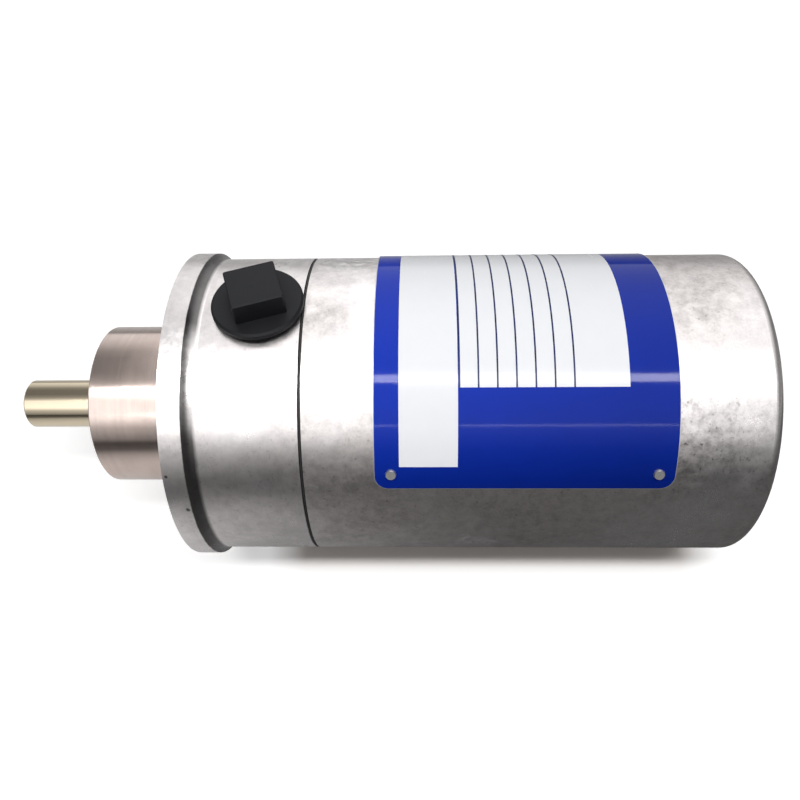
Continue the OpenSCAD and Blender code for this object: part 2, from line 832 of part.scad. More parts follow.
module pot_set_screw() {
    color("dimgray") on_axis(split_x + split_len + split_hub_len / 2) rotate(-idler_angle)
        rotate([-90, 0, 0]) translate([0, 0, pot_shaft_r + eps])
            set_screw(split_hub_r - pot_shaft_r - slip_gap);
}

module pot_body() {
    body_len = pot_len - pot_cap_t;
    color("#3b3f46") on_axis(pot_x) difference() {
        union() {
            cylinder(r = pot_r, h = pot_rim_t);
            cylinder(r = pot_groove_r, h = body_len);
            translate([0, 0, pot_rim_t + pot_groove_w])
                bar(pot_r, body_len - pot_rim_t - pot_groove_w, 0.3);
            translate([0, 0, 0.6 - gear_plate_t]) cylinder(r = pot_boss_r, h = gear_plate_t);
        }
        translate([0, 0, -gear_plate_t - eps])
            cylinder(r = pot_shaft_r + run_gap, h = gear_plate_t + pot_shaft_depth + 1);
    }
}

module pot_cap() {
    color("#17181a") on_axis(pot_x + pot_len - pot_cap_t) difference() {
        bar(pot_r - 0.8, pot_cap_t, 0.6);
        translate([0, 0, pot_cap_t - 0.8]) tube(pot_r - 5, pot_r - 6.4, 1);
    }
}

// Three solder turrets that stand on the back of the potentiometer.
module pot_turret_places() {
    for (i = [-1:1]) translate([pot_x + pot_len, i * turret_pitch, turret_z]) children();
}

module pot_turrets() {
    color("goldenrod") pot_turret_places() rotate([0, 90, 0]) {
        cylinder(r = turret_r, h = turret_len, $fn = 32);
        cylinder(r = turret_r * 1.8, h = 0.7, $fn = 32);
        translate([0, 0, turret_len - 0.6]) cylinder(r = turret_r * 1.5, h = 0.6, $fn = 32);
    }
}

// Three sleeves with ears that reach into the potentiometer's groove.
module pot_clamps() {
    sleeve_r = 3.2;
    ear_r = 4.4;
    hole_r = clamp_hole_r + seat_gap;
    color("silver") on_axis(pot_x) round_axis(clamp_r, clamp_count, clamp_start) difference() {
        union() {
            tube(sleeve_r, hole_r, pot_rim_t);
            translate([0, 0, pot_rim_t]) intersection() {
                tube(ear_r, hole_r, clamp_t);
                translate([0, -clamp_r, -eps])
                    tube(clamp_r + 3, pot_groove_r + 0.2, clamp_t + 1);
            }
        }
        translate([0, -clamp_r, -eps]) cylinder(r = pot_r + 0.1, h = pot_rim_t + eps);
    }
}

module pot_clamp_screws() {
    color("silver") on_axis(pot_x + pot_rim_t + clamp_t + eps)
        round_axis(clamp_r, clamp_count, clamp_start)
            pan_screw(2.3, 1.9, clamp_hole_r - 0.1, pot_rim_t + clamp_t + gear_plate_t - 0.5);
}

// A round lead along a bend with four control points.
module lead(p, r) {
    rings = 12;
    sides = 8;
    pts = [for (i = [0:rings]) let (
            u = bend_dir(p, i / rings) / norm(bend_dir(p, i / rings)),
            v = cross(u, [0, 1, 0]) / norm(cross(u, [0, 1, 0])),
            w = cross(u, v))
        for (k = [0:sides - 1])
            bend_at(p, i / rings) + r * (cos(k * 360 / sides) * v + sin(k * 360 / sides) * w)];
    skin = [for (i = [0:rings - 1], k = [0:sides - 1]) let (n = (k + 1) % sides)
        [i * sides + k, (i + 1) * sides + k, (i + 1) * sides + n, i * sides + n]];
    polyhedron(pts, concat(
        [[for (k = [0:sides - 1]) k]], skin,
        [[for (k = [sides - 1:-1:0]) rings * sides + k]]));
}

module pot_leads() {
    foot_x = pot_x + pot_len + turret_len + eps;
    end_x = board_x - eps;
    bow = lead_room / 2;
    color("red") for (y = [-turret_pitch, 0, turret_pitch]) lead([
        [foot_x, y, turret_z], [foot_x + bow, y, turret_z],
        [end_x - bow, y, turret_z + lead_rise], [end_x, y, turret_z + lead_rise]
    ], lead_r);
}

module board() {
    color("darkgreen") on_axis(board_x) difference() {
        cylinder(r = board_r, h = board_t);
        round_axis(post_r, post_count, post_start)
            translate([0, 0, -eps]) cylinder(r = post_hole_r, h = board_t + 2 * eps, $fn = 32);
        at_ring(board_r, notch_angle) translate([-notch_w / 2, -board_notch, -eps])
            cube([notch_w, 2 * board_notch, board_t + 2 * eps]);
    }
}

module board_screws() {
    color("silver") on_axis(board_face) round_axis(post_r, post_count, post_start)
        pan_screw(2.7, 2.2, post_hole_r - seat_gap, board_t + post_tap - 3);
}

module terminal_block() {
    foot_z = -terminal_base_w / 2;
    color("#1d1e20") translate([board_face, -terminal_len / 2, terminal_z]) difference() {
        union() {
            translate([0, 0, foot_z]) cube([terminal_base_h, terminal_len, terminal_base_w]);
            for (i = [0:terminal_count]) translate([0, i * terminal_pitch, foot_z])
                cube([terminal_rib_h, terminal_rib_t, terminal_base_w]);
        }
        terminal_places(terminal_len / 2) translate([0, 0, 1])
            cylinder(r = terminal_screw_r + 0.2, h = terminal_base_h, $fn = 32);
    }
}

// Repeats a shape at each terminal, with its own z away from the board.
module terminal_places(shift_y) {
    for (i = [0:terminal_count - 1], s = [-1, 1])
        translate([0, shift_y + (i - (terminal_count - 1) / 2) * terminal_pitch,
            s * terminal_base_w / 4]) rotate([0, 90, 0]) children();
}

module terminal_screws() {
    clamp_w = terminal_pitch - terminal_rib_t - terminal_margin;
    clamp_len = terminal_base_w / 2 - terminal_margin;
    color("silver") translate([board_face + terminal_base_h + eps, 0, terminal_z])
        terminal_places(0) {
            translate([0, 0, terminal_plate_t]) pan_screw(terminal_head_r, terminal_head_h,
                terminal_screw_r, terminal_screw_len);
            translate([-clamp_len / 2, -clamp_w / 2, 0])
                cube([clamp_len, clamp_w, terminal_plate_t]);
        }
}

module trimmer(y) {
    translate([board_face, y, trimmer_z]) difference() {
        translate([0, -trimmer_w / 2, -trimmer_w / 2]) cube([trimmer_h, trimmer_w, trimmer_w]);
        translate([trimmer_h - trimmer_depth, 0, 0]) rotate([0, 90, 0])
            cylinder(r = trimmer_screw_r + run_gap, h = 2 * trimmer_depth);
    }
}

module trimmer_screw(y) {
    screw_h = trimmer_depth + 0.7;
    translate([board_face + trimmer_h - trimmer_depth + run_gap, y, trimmer_z])
        rotate([0, 90, 0]) difference() {
            cylinder(r = trimmer_screw_r, h = screw_h);
            translate([-trimmer_screw_r, -0.3, screw_h - 0.8])
                cube([2 * trimmer_screw_r, 0.6, 1]);
        }
}

module zero_trimmer() {
    color("royalblue") trimmer(-trimmer_y);
}

module span_trimmer() {
    color("royalblue") trimmer(trimmer_y);
}

module zero_screw() {
    color("gold") trimmer_screw(-trimmer_y);
}

module span_screw() {
    color("gold") trimmer_screw(trimmer_y);
}

module capacitors() {
    color("midnightblue") for (s = [-1, 1])
        translate([board_face, s * (cap_r + 1.2), cap_z]) rotate([0, 90, 0]) difference() {
            bar(cap_r, cap_h, 0.5);
            translate([0, 0, 1.6]) tube(cap_r + 1, cap_r - 0.3, 0.7);
        }
}

// Chip with two rows of legs, that hangs under the board's front side.
module chip(leg_count) {
    len = leg_count * leg_pitch;
    translate([-chip_t - chip_lift, -len / 2, -chip_w / 2]) cube([chip_t, len, chip_w]);
    for (i = [0:leg_count - 1], s = [-1, 1])
        translate([-chip_lift - chip_t / 2, (i - (leg_count - 1) / 2) * leg_pitch - leg_w / 2,
            s * (chip_w + leg_w) / 2 - leg_w / 2])
                cube([chip_lift + chip_t / 2, leg_w, leg_w]);
}

module control_chips() {
    color("#202124") translate([board_x - eps, 0, 0]) {
        translate([0, chip_y, long_chip_z]) chip(7);
        translate([0, chip_y, low_chip_z]) chip(4);
        translate([0, side_chip_y, side_chip_z]) rotate([90, 0, 0]) chip(4);
    }
}

// Power transistor that stands on the board with its tab and three legs.
module regulator() {
    tab_y = regulator_t / 2;
    color("#26272a") translate([board_face, regulator_y, regulator_z]) {
        translate([leg_h, -tab_y, -regulator_w / 2])
            cube([regulator_h, regulator_t, regulator_w]);
        difference() {
            translate([leg_h, tab_y - eps, -regulator_w / 2]) cube([tab_h, tab_t, regulator_w]);
            translate([leg_h + tab_h - 3, tab_y + 2 * tab_t, 0]) rotate([90, 0, 0])
                cylinder(r = 1.8, h = 3 * tab_t, $fn = 32);
        }
        for (i = [-1:1]) translate([0, -leg_w / 2, i * leg_pitch - leg_w / 2])
            cube([leg_h + eps, leg_w, leg_w]);
    }
}

// Resistor with its length along Z, and a lead that runs through it into the board.
module resistor() {
    cap_len = 0.9;
    neck = resistor_r * 0.78;
    span = resistor_len + 2.8;
    translate([resistor_lift, 0, -resistor_len / 2]) rotate_extrude() polygon([
        [0, 0], [resistor_r - 0.1, 0], [resistor_r, cap_len], [neck, cap_len + 0.6],
        [neck, resistor_len - cap_len - 0.6], [resistor_r, resistor_len - cap_len],
        [resistor_r - 0.1, resistor_len], [0, resistor_len]
    ]);
    translate([resistor_lift - leg_w / 2, -leg_w / 2, -span / 2]) cube([leg_w, leg_w, span]);
    for (s = [-1, 1]) translate([0, -leg_w / 2, s * (span - leg_w) / 2 - leg_w / 2])
        cube([resistor_lift, leg_w, leg_w]);
}

module resistors() {
    color("tan") for (i = [0:3])
        translate([board_face, resistor_y + i * resistor_pitch, resistor_z - i * 0.8])
            resistor();
}

module ground_screw() {
    color("seagreen") on_axis(floor_t + eps) at_ring(post_r, notch_angle)
        pan_screw(3, 2.4, post_hole_r - seat_gap, tap_depth - 1);
}

base_housing();
pilot_hub();
hub_locknut();
shaft_seal();
outer_bearing_rings();
outer_spacer();
hub_retaining_ring();
input_shaft();
inner_bearing_rings();
inner_spacer();
shaft_retaining_ring();
drive_pinion();
drive_set_screw();
bearing_balls();
bearing_cages();
cover_seal();
cover();
nameplate();
nameplate_pins();
conduit_plug();
front_gear_plate();
rear_gear_plate();
base_standoffs();
gear_standoffs();
board_standoffs();
idler_bushings();
idler_shaft();
idler_wheel();
idler_pinion();
split_wheel_fixed();
split_wheel_loose();
split_wheel_springs();
split_wheel_ring();
pot_shaft();
pot_set_screw();
pot_body();
pot_cap();
pot_turrets();
pot_clamps();
pot_clamp_screws();
pot_leads();
board();
board_screws();
terminal_block();
terminal_screws();
zero_trimmer();
span_trimmer();
zero_screw();
span_screw();
capacitors();
control_chips();
regulator();
resistors();
ground_screw();
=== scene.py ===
import math

import bpy
import numpy as np
from bpy.props import FloatProperty, FloatVectorProperty, IntProperty, PointerProperty
from mathutils import Matrix, Vector


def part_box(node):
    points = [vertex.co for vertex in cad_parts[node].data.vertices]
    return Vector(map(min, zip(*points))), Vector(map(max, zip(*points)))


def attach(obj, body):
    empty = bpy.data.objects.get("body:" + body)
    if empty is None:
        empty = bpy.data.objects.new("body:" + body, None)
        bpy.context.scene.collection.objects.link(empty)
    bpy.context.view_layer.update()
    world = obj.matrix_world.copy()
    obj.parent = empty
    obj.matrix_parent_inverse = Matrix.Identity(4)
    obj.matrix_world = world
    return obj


bl_info = {
    "name": "Rotary position sensor",
    "version": (1, 0, 0),
    "blender": (4, 5, 0),
    "location": "View3D > Sidebar > Sensor",
    "description": "Dresses the packed rotary position sensor: finishes, nameplate print, threads, "
                   "board details and the studio round it",
    "category": "Object",
}

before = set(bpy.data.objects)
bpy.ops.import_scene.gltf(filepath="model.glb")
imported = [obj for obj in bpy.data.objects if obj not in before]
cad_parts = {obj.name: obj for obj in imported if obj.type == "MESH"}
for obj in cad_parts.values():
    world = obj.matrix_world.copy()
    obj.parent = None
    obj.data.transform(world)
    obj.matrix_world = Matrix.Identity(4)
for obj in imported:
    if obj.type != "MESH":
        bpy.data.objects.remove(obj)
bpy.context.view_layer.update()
MM = 0.001
TURN = 2 * math.pi

# Radii, places along the shaft axis and boxes, all read from the frame.
BODY_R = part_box("cover")[1].y
SEAM_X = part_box("cover")[0].x
COVER_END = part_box("cover")[1].x
RIM_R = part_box("base_housing")[1].z
SPIGOT_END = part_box("base_housing")[1].x
PLATE_LOW, PLATE_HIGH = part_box("nameplate")
PLUG_LOW, PLUG_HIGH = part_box("conduit_plug")
SEAL_LOW, SEAL_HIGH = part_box("cover_seal")
CAPS_LOW, CAPS_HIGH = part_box("capacitors")
CHIP_LOW, CHIP_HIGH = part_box("regulator")
RESISTOR_LOW, RESISTOR_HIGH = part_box("resistors")
BOARD_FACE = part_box("board")[1].x
PLUG_X = (PLUG_LOW.x + PLUG_HIGH.x) / 2
PLATE_HALF_ANGLE = math.asin(PLATE_HIGH.y / math.hypot(PLATE_HIGH.y, PLATE_LOW.z))
PLATE_ARC = 2 * BODY_R * PLATE_HALF_ANGLE
PLATE_RISE = PLATE_HIGH.z - BODY_R

# Sizes of the solids that no box shows.
COVER_WALL = 4.5 * MM
THREAD_PLAY = 0.525 * MM
COVER_IN_R = BODY_R - COVER_WALL
SPIGOT_R = COVER_IN_R - THREAD_PLAY
RIM_T = 6.35 * MM
COVE_LENGTH = 3 * MM
COVER_EDGE = 3 * MM
PLUG_SHANK_R = 10.1 * MM
PLUG_GAP = 0.3 * MM
PLATE_CORNER = 4 * MM
PIN_STEP = 2.54 * MM
RESISTOR_COUNT = 4
RESISTOR_STAGGER = 0.8 * MM

# How far threads stay back from the seam, the spigot's end, the plug's foot and the body's skin.
THREAD_INSET = 1.2 * MM
PLUG_THREAD_INSET = 0.8 * MM
ENTRY_THREAD_INSET = 1.5 * MM

# How deep print reaches into its ground, and how far print, rules and bare edges stand proud.
PRINT_SUNK = 0.05 * MM
PRINT_PROUD = 0.03 * MM
RULE_PROUD = 0.05 * MM
EDGE_PROUD = 0.02 * MM

# The middle of the cover's specks, their reach and how softly it ends.
WORN = (149 * MM, -34 * MM, 33 * MM)
WORN_REACH = 21 * MM
WORN_SOFT = 18 * MM

# Where pale oxide ends along the shaft axis.
BLOOM_END = 110 * MM
BLOOM_SOFT = 30 * MM

# The stretch in front, along -Y, where the cove's painted shade is mostly lifted,
# as the key light's highlight crosses the cove there.
HIGHLIT_FROM = 10 * MM
HIGHLIT_TO = 31 * MM
HIGHLIT_SOFT = 8 * MM

# The height and the place along the shaft axis where painted shade darkens the nameplate's print.
DIM_Z = 30 * MM
DIM_Z_SOFT = 22 * MM
DIM_X = 95 * MM
DIM_X_SOFT = 70 * MM

# Two dark nicks in the rim: place, radius and how dark they are.
MARKS = (
    ((1.0 * MM, -42.4 * MM, 25.5 * MM), 0.6 * MM, 0.8),
    ((5.2 * MM, -47.2 * MM, 14.9 * MM), 0.7 * MM, 0.8),
)

# The photograph's frame and the film that stands for it, in pixels and millimetres.
FRAME_PIXELS = 800
FILM_WIDTH = 36.0

# The lamps' distance from the shaft axis and their place along it, in metres.
LAMP_REACH = 0.62
LAMP_ALONG = 0.06

# The floor's half width, its clearance, and the place of the rim's point that rests on it.
FLOOR_HALF = 3.0
FLOOR_CLEAR = 0.02 * MM
RIM_TOUCH_X = 3.2 * MM

# Half the level of the tent of light by the angle from the front horizon up and over, in
# degrees, and a quarter of what that level is multiplied with towards the shaft's end.
TENT = [(-180, 0.45), (-150, 0.40), (-90, 0.06), (-15, 0.04), (2, 0.055), (12, 0.085),
        (20, 0.15), (28, 0.38), (35, 0.67), (47, 0.70), (58, 0.68), (84, 0.66), (98, 0.78),
        (122, 0.95), (138, 0.88), (150, 0.76), (160, 0.64), (175, 0.52)]
GAP = [(-180, 0.25), (-60, 0.25), (-10, 0.90), (12, 1.0), (22, 0.62), (35, 0.40),
       (66, 0.35), (76, 0.14), (88, 0.07), (100, 0.04), (124, 0.035), (138, 0.06),
       (150, 0.13), (162, 0.22), (176, 0.30)]


def colour_property(name, text, value):
    """A colour that a user can change, with its default."""
    return FloatVectorProperty(name=name, description=text, default=value, subtype="COLOR",
                               size=3, min=0.0, max=1.0)


class SensorFinish(bpy.types.PropertyGroup):
    """Colours of the parts that show."""

    cover: colour_property("Cover", "Bare aluminium of the cover", (0.85, 0.82, 0.82))
    base: colour_property("Base", "Turned aluminium of the base", (0.875, 0.845, 0.845))
    pilot: colour_property("Pilot", "Turned stainless steel of the pilot boss", (0.72, 0.605, 0.555))
    shaft: colour_property("Shaft", "Ground steel of the shafts", (0.84, 0.73, 0.55))
    plate: colour_property("Nameplate", "Ground colour of the nameplate", (0.004, 0.034, 0.46))
    print_white: colour_property("Print", "White print on the nameplate", (0.88, 0.89, 0.92))
    rule_ink: colour_property("Rules", "Ink of the rules", (0.012, 0.02, 0.10))
    plug: colour_property("Plug", "Moulded plastic of the conduit plug", (0.008, 0.0083, 0.0105))
    brass: colour_property("Brass", "Brass of wheels and standoffs", (0.83, 0.61, 0.27))
    board: colour_property("Board", "Solder mask of the board", (0.012, 0.12, 0.045))


class SensorPrint(bpy.types.PropertyGroup):
    """Layout of the nameplate's print, counted from its left and its lower edge."""

    panel_left: FloatProperty(name="Panel left", description="Left edge of the plain white panel",
                              default=6.9 * MM, subtype="DISTANCE")
    panel_right: FloatProperty(name="Panel right", description="Right edge of the white panel",
                               default=22.9 * MM, subtype="DISTANCE")
    field_right: FloatProperty(name="Field right", description="Right edge of the ruled field",
                               default=68.7 * MM, subtype="DISTANCE")
    panel_low: FloatProperty(name="Panel foot", description="Lower edge of the white panel",
                             default=7.0 * MM, subtype="DISTANCE")
    field_low: FloatProperty(name="Field foot", description="Lower edge of the ruled field",
                             default=28.8 * MM, subtype="DISTANCE")
    rule_first: FloatProperty(name="First rule", description="Place of the first rule",
                              default=23.3 * MM, subtype="DISTANCE")
    rule_step: FloatProperty(name="Rule step", description="Distance from rule to rule",
                             default=5.13 * MM, subtype="DISTANCE")
    rule_count: IntProperty(name="Rules", description="Number of rules", default=7, min=2, max=9)
    rule_width: FloatProperty(name="Rule width", description="Width of one rule",
                              default=0.46 * MM, subtype="DISTANCE")


class SensorThread(bpy.types.PropertyGroup):
    """Threads of the cover and of the conduit entry."""

    cover_pitch: FloatProperty(name="Cover pitch", description="Pitch of the cover's thread",
                               default=1.5875 * MM, subtype="DISTANCE")
    cover_height: FloatProperty(name="Cover height", description="Height of the cover's thread",
                                default=0.22 * MM, subtype="DISTANCE")
    plug_pitch: FloatProperty(name="Plug pitch", description="Pitch of the conduit thread",
                              default=1.814 * MM, subtype="DISTANCE")
    plug_height: FloatProperty(name="Plug height", description="Height of the conduit thread",
                               default=0.12 * MM, subtype="DISTANCE")


class SensorStudio(bpy.types.PropertyGroup):
    """The camera's place and lens."""

    distance: FloatProperty(name="Distance", description="Camera to shaft axis",
                            default=0.24, subtype="DISTANCE", unit="LENGTH")
    elevation: FloatProperty(name="Elevation", description="Height of the camera's sight line",
                             default=math.radians(55.3), subtype="ANGLE")
    along: FloatProperty(name="Along", description="Camera's place along the shaft axis",
                         default=0.0719, subtype="DISTANCE")
    yaw: FloatProperty(name="Yaw", description="Turn of the camera to the side",
                       default=-0.032, subtype="ANGLE")
    pitch: FloatProperty(name="Pitch", description="Tilt of the camera", default=0.003,
                         subtype="ANGLE")
    roll: FloatProperty(name="Roll", description="Roll of the camera", default=-0.0039,
                        subtype="ANGLE")
    focal: FloatProperty(name="Focal length", description="In pixels of an 800 pixel frame",
                         default=715.2, min=100.0)


class Wire:
    """A shader socket that reads as a number: arithmetic on it adds Math nodes."""

    def __init__(self, tree, socket):
        self.tree = tree
        self.socket = socket

    def math(self, operation, *values, clamp=False):
        """A Math node on values, each a wire or a number."""
        node = self.tree.nodes.new("ShaderNodeMath")
        node.operation = operation
        node.use_clamp = clamp
        for slot, value in zip(node.inputs, values):
            join(self.tree, slot, value)
        return Wire(self.tree, node.outputs[0])

    def __add__(self, other):
        return self.math("ADD", self, other)

    def __radd__(self, other):
        return self.math("ADD", other, self)

    def __sub__(self, other):
        return self.math("SUBTRACT", self, other)

    def __rsub__(self, other):
        return self.math("SUBTRACT", other, self)

    def __mul__(self, other):
        return self.math("MULTIPLY", self, other)

    def __rmul__(self, other):
        return self.math("MULTIPLY", other, self)

    def __truediv__(self, other):
        return self.math("DIVIDE", self, other)

    def __pow__(self, other):
        return self.math("POWER", self, other)

    def __neg__(self):
        return self.math("MULTIPLY", self, -1.0)

    def above(self, level, soft):
        """0 below the level, 1 above it, with a ramp of the given width."""
        return self.math("MULTIPLY_ADD", self, 1 / soft, 0.5 - level / soft, clamp=True)

    def clamped(self):
        """Cut off below 0 and above 1."""
        return self.math("MULTIPLY", self, 1.0, clamp=True)


def join(tree, slot, value):
    """Links a wire to a socket, or writes a plain value into it."""
    if isinstance(value, Wire):
        tree.links.new(value.socket, slot)
    elif slot.type == "RGBA" and len(value) == 3:
        slot.default_value = (*value, 1.0)
    else:
        slot.default_value = value


class Nodes:
    """A node tree, emptied, and the one method that adds nodes to it."""

    def __init__(self, tree):
        self.tree = tree
        tree.nodes.clear()

    def node(self, kind, inputs=None, settings=None, output=0):
        """Adds any node: its settings first, then its sockets. Returns one output, if any."""
        node = self.tree.nodes.new(kind)
        for key, value in (settings or {}).items():
            if key == "stops":
                fill_ramp(node.color_ramp, value)
            else:
                setattr(node, key, value)
        for key, value in (inputs or {}).items():
            join(self.tree, node.inputs[key], value)
        return Wire(self.tree, node.outputs[output]) if node.outputs else None

    def ray(self, kind):
        """1 where the light path is a ray of this kind, such as Camera or Glossy."""
        return self.node("ShaderNodeLightPath", output=f"Is {kind} Ray")


class Paint(Nodes):
    """One procedural material on object coordinates."""

    def __init__(self, name):
        self.material = bpy.data.materials.new(name)
        self.material.use_nodes = True
        super().__init__(self.material.node_tree)
        shader = self.node("ShaderNodeBsdfPrincipled")
        self.node("ShaderNodeOutputMaterial", {0: shader})
        self.sockets = shader.socket.node.inputs
        self.place = self.node("ShaderNodeTexCoord", output="Object")
        self.x, self.y, self.z = (
            self.node("ShaderNodeSeparateXYZ", {0: self.place}, output=i) for i in range(3))

    def stretched(self, x, y, z):
        """Object coordinates in metres, scaled along each axis."""
        return self.node("ShaderNodeMapping", {"Vector": self.place, "Scale": (x, y, z)})

    def lathe(self, fine, slow):
        """Coordinates that run fast along the shaft axis and its radius, slowly round it."""
        radius = (self.y ** 2 + self.z ** 2) ** 0.5
        return self.node("ShaderNodeCombineXYZ", {
            0: self.x * fine, 1: radius * fine, 2: (self.y + self.z) * slow})

    def noise(self, scale, detail=2.0, rough=0.5, vector=None):
        """Fractal noise about 0.5, on the object or on a given vector."""
        return self.node("ShaderNodeTexNoise", {
            "Vector": vector or self.place, "Scale": scale, "Detail": detail,
            "Roughness": rough})

    def away_from(self, place):
        """The distance from a place, in metres."""
        return self.node("ShaderNodeVectorMath", {0: self.place, 1: place},
                         {"operation": "DISTANCE"}, output="Value")

    def blend(self, factor, low, high, mode="MIX"):
        """Mixes two colours."""
        return self.node("ShaderNodeMix", {0: factor, 6: low, 7: high},
                         {"data_type": "RGBA", "blend_type": mode}, output=2)

    def grey(self, value):
        """A number as a grey colour."""
        return self.node("ShaderNodeCombineColor", {0: value, 1: value, 2: value})

    def spot(self, place, radius):
        """1 at a point, 0 beyond a radius round it, with an uneven edge."""
        ragged = self.away_from(place) / radius + (self.noise(900.0, 2.0) - 0.5) * 0.9
        return 1 - ragged.above(0.8, 0.5)

    def bump(self, height, distance, strength=1.0):
        """A normal that follows a height, which is counted in distances."""
        return self.node("ShaderNodeBump", {
            "Height": height, "Distance": distance, "Strength": strength}, output="Normal")

    def finish(self, **sockets):
        """Writes the shader's sockets; the names have underscores for spaces."""
        for key, value in sockets.items():
            title = key.replace("_", " ").title().replace("Ior", "IOR")
            join(self.tree, self.sockets[title], value)
        return self.material


def fill_ramp(ramp, stops):
    """Sets a colour ramp's stops, each of a place and a colour."""
    while len(ramp.elements) < len(stops):
        ramp.elements.new(1.0)
    for element, (place, value) in zip(ramp.elements, stops):
        element.position = place
        element.color = (*value, 1.0)


def turned_metal(name, colour, rough, line, cloud, stain, grain=0.0, marks=(), cove=(),
                 worn=None, end=None, bloom=0.0):
    """Bare metal off the lathe.

    Fine rings follow the tool's path, clouds and stains are noise on the surface, and specks
    gather in patches, mostly round the worn place. Each mark is a point with a radius and
    a darkness. A cove is the stretch along x that gets painted shade, as a recess would hold;
    in front, where the key light's highlight crosses it, the painted shade is mostly lifted.
    Beyond the end, along x, the face shows its turning marks more. Bloom is pale
    and rough oxide, where there are no specks, and it ends before the cover's far end.
    """
    paint = Paint(name)
    rings = paint.noise(1.0, 3.0, 0.7, paint.lathe(2600.0, 12.0))
    broad = paint.noise(1.0, 2.0, 0.5, paint.lathe(420.0, 6.0))
    clouds = paint.noise(115.0, 7.0, 0.68)
    patches = paint.noise(24.0, 4.0, 0.6)
    speckled, share = patches, 1.0
    if worn:
        zone = 1 - paint.away_from(worn).above(WORN_REACH, WORN_SOFT)
        speckled, share = patches + zone * 0.13, zone * 0.60 + 0.45
    blotch = paint.noise(340.0, 5.0, 0.7).above(0.53, 0.22) * speckled.above(0.50, 0.2)
    fine = paint.noise(1400.0, 3.0, 0.7) - 0.5
    pits = paint.noise(820.0, 2.0, 0.5).above(0.67, 0.07) * speckled.above(0.52, 0.15)
    dull = (clouds.above(0.52, 0.24) * 0.7 + patches.above(0.52, 0.3) * 0.4) * cloud
    specks = (pits * 0.5 + blotch * 0.5) * share + fine * 0.35
    oxide = paint.noise(430.0, 4.0, 0.62).above(0.56, 0.20) * (1 - patches.above(0.48, 0.08))
    pale = oxide * (1 - paint.x.above(BLOOM_END, BLOOM_SOFT)) * bloom
    shade = 1 + pale * 0.12 - dull * 0.34 - specks * grain
    shade = shade - (rings - 0.5) * line - (broad - 0.5) * line * 0.8
    for place, radius, dark in marks:
        shade = shade * (1 - paint.spot(place, radius) * dark)
    # Painted shade across the cove, mostly lifted in front where the key light's highlight crosses
    # it.
    if cove:
        ragged = paint.x + (clouds - 0.5) * 0.7 * MM
        cove_shade = ragged.above(cove[0], 0.3 * MM) * (1 - ragged.above(cove[1], 1 * MM))
        front = -paint.y
        highlit = front.above(HIGHLIT_FROM, HIGHLIT_SOFT) * (1 - front.above(HIGHLIT_TO, HIGHLIT_SOFT))
        shade = shade * (1 - cove_shade * (0.8 - highlit * 0.62))
    tint = paint.blend(patches.above(0.52, 0.4) * stain, colour,
                       tuple(c * t for c, t in zip(colour, (0.94, 0.87, 0.82))))
    height = rings * 0.6 + broad * 0.4 - specks * grain * 0.6 - dull * 0.4
    if end:
        faced = (rings + broad - 1) * paint.x.above(end, 0.2 * MM)
        shade, height = shade - faced * 0.3, height + faced * 1.5
    return paint.finish(
        base_color=paint.blend(1.0, tint, paint.grey(shade), "MULTIPLY"), metallic=1.0,
        roughness=(dull * 0.22 + pale * 0.25 + (rings - 0.5) * 0.08 + rough).clamped(),
        normal=paint.bump(height, 0.02 * MM, 0.4))


def plain_metal(name, colour, rough, wear=0.12):
    """Bright small parts: even metal with faint smears and brushed scratches."""
    paint = Paint(name)
    smear = paint.noise(210.0, 4.0, 0.6)
    lines = paint.noise(1.0, 3.0, 0.6, paint.stretched(3000.0, 260.0, 260.0))
    shade = 1 - (smear - 0.5) * wear * 2 - (lines - 0.5) * wear
    return paint.finish(
        base_color=paint.blend(1.0, colour, paint.grey(shade), "MULTIPLY"), metallic=1.0,
        roughness=((smear - 0.5) * 0.25 + rough).clamped(),
        normal=paint.bump(lines, 0.01 * MM, 0.4))


def moulded(name, colour, rough, grain=0.3, fleck=0.15, gloss=0.5):
    """Moulded plastic or rubber with a fine spark-eroded grain."""
    paint = Paint(name)
    fine = paint.noise(1900.0, 3.0, 0.6)
    slow = paint.noise(120.0, 3.0, 0.5)
    shade = 1 + (slow - 0.5) * fleck * 2 + (fine - 0.5) * fleck
    return paint.finish(
        base_color=paint.blend(1.0, colour, paint.grey(shade), "MULTIPLY"),
        roughness=((slow - 0.5) * 0.2 + rough).clamped(), specular_ior_level=gloss,
        normal=paint.bump(fine, 0.02 * MM, grain))


def printed(name, colour, rough, mottle, fade=0.0):
    """Satin print on sheet metal over slightly uneven ink.

    It can darken by a share towards the plate's lower edges and half that to its right: painted
    shade.
    """
    paint = Paint(name)
    uneven = paint.noise(140.0, 4.0, 0.6)
    scuffs = paint.noise(1.0, 3.0, 0.6, paint.stretched(900.0, 60.0, 60.0)).above(0.70, 0.05)
    shade = 1 + (uneven - 0.5) * mottle
    # Painted shade: the print darkens towards the plate's lower edges and to its right.
    if fade:
        shade = shade * (1 - fade * (1 - paint.z.above(DIM_Z, DIM_Z_SOFT)))
        shade = shade * (1 - fade * 0.55 * paint.x.above(DIM_X, DIM_X_SOFT))
    return paint.finish(
        base_color=paint.blend(1.0, colour, paint.grey(shade), "MULTIPLY"),
        roughness=(scuffs * 0.12 + (uneven - 0.5) * 0.1 + rough).clamped(),
        specular_ior_level=0.15, normal=paint.bump(uneven, 0.01 * MM, 0.3))


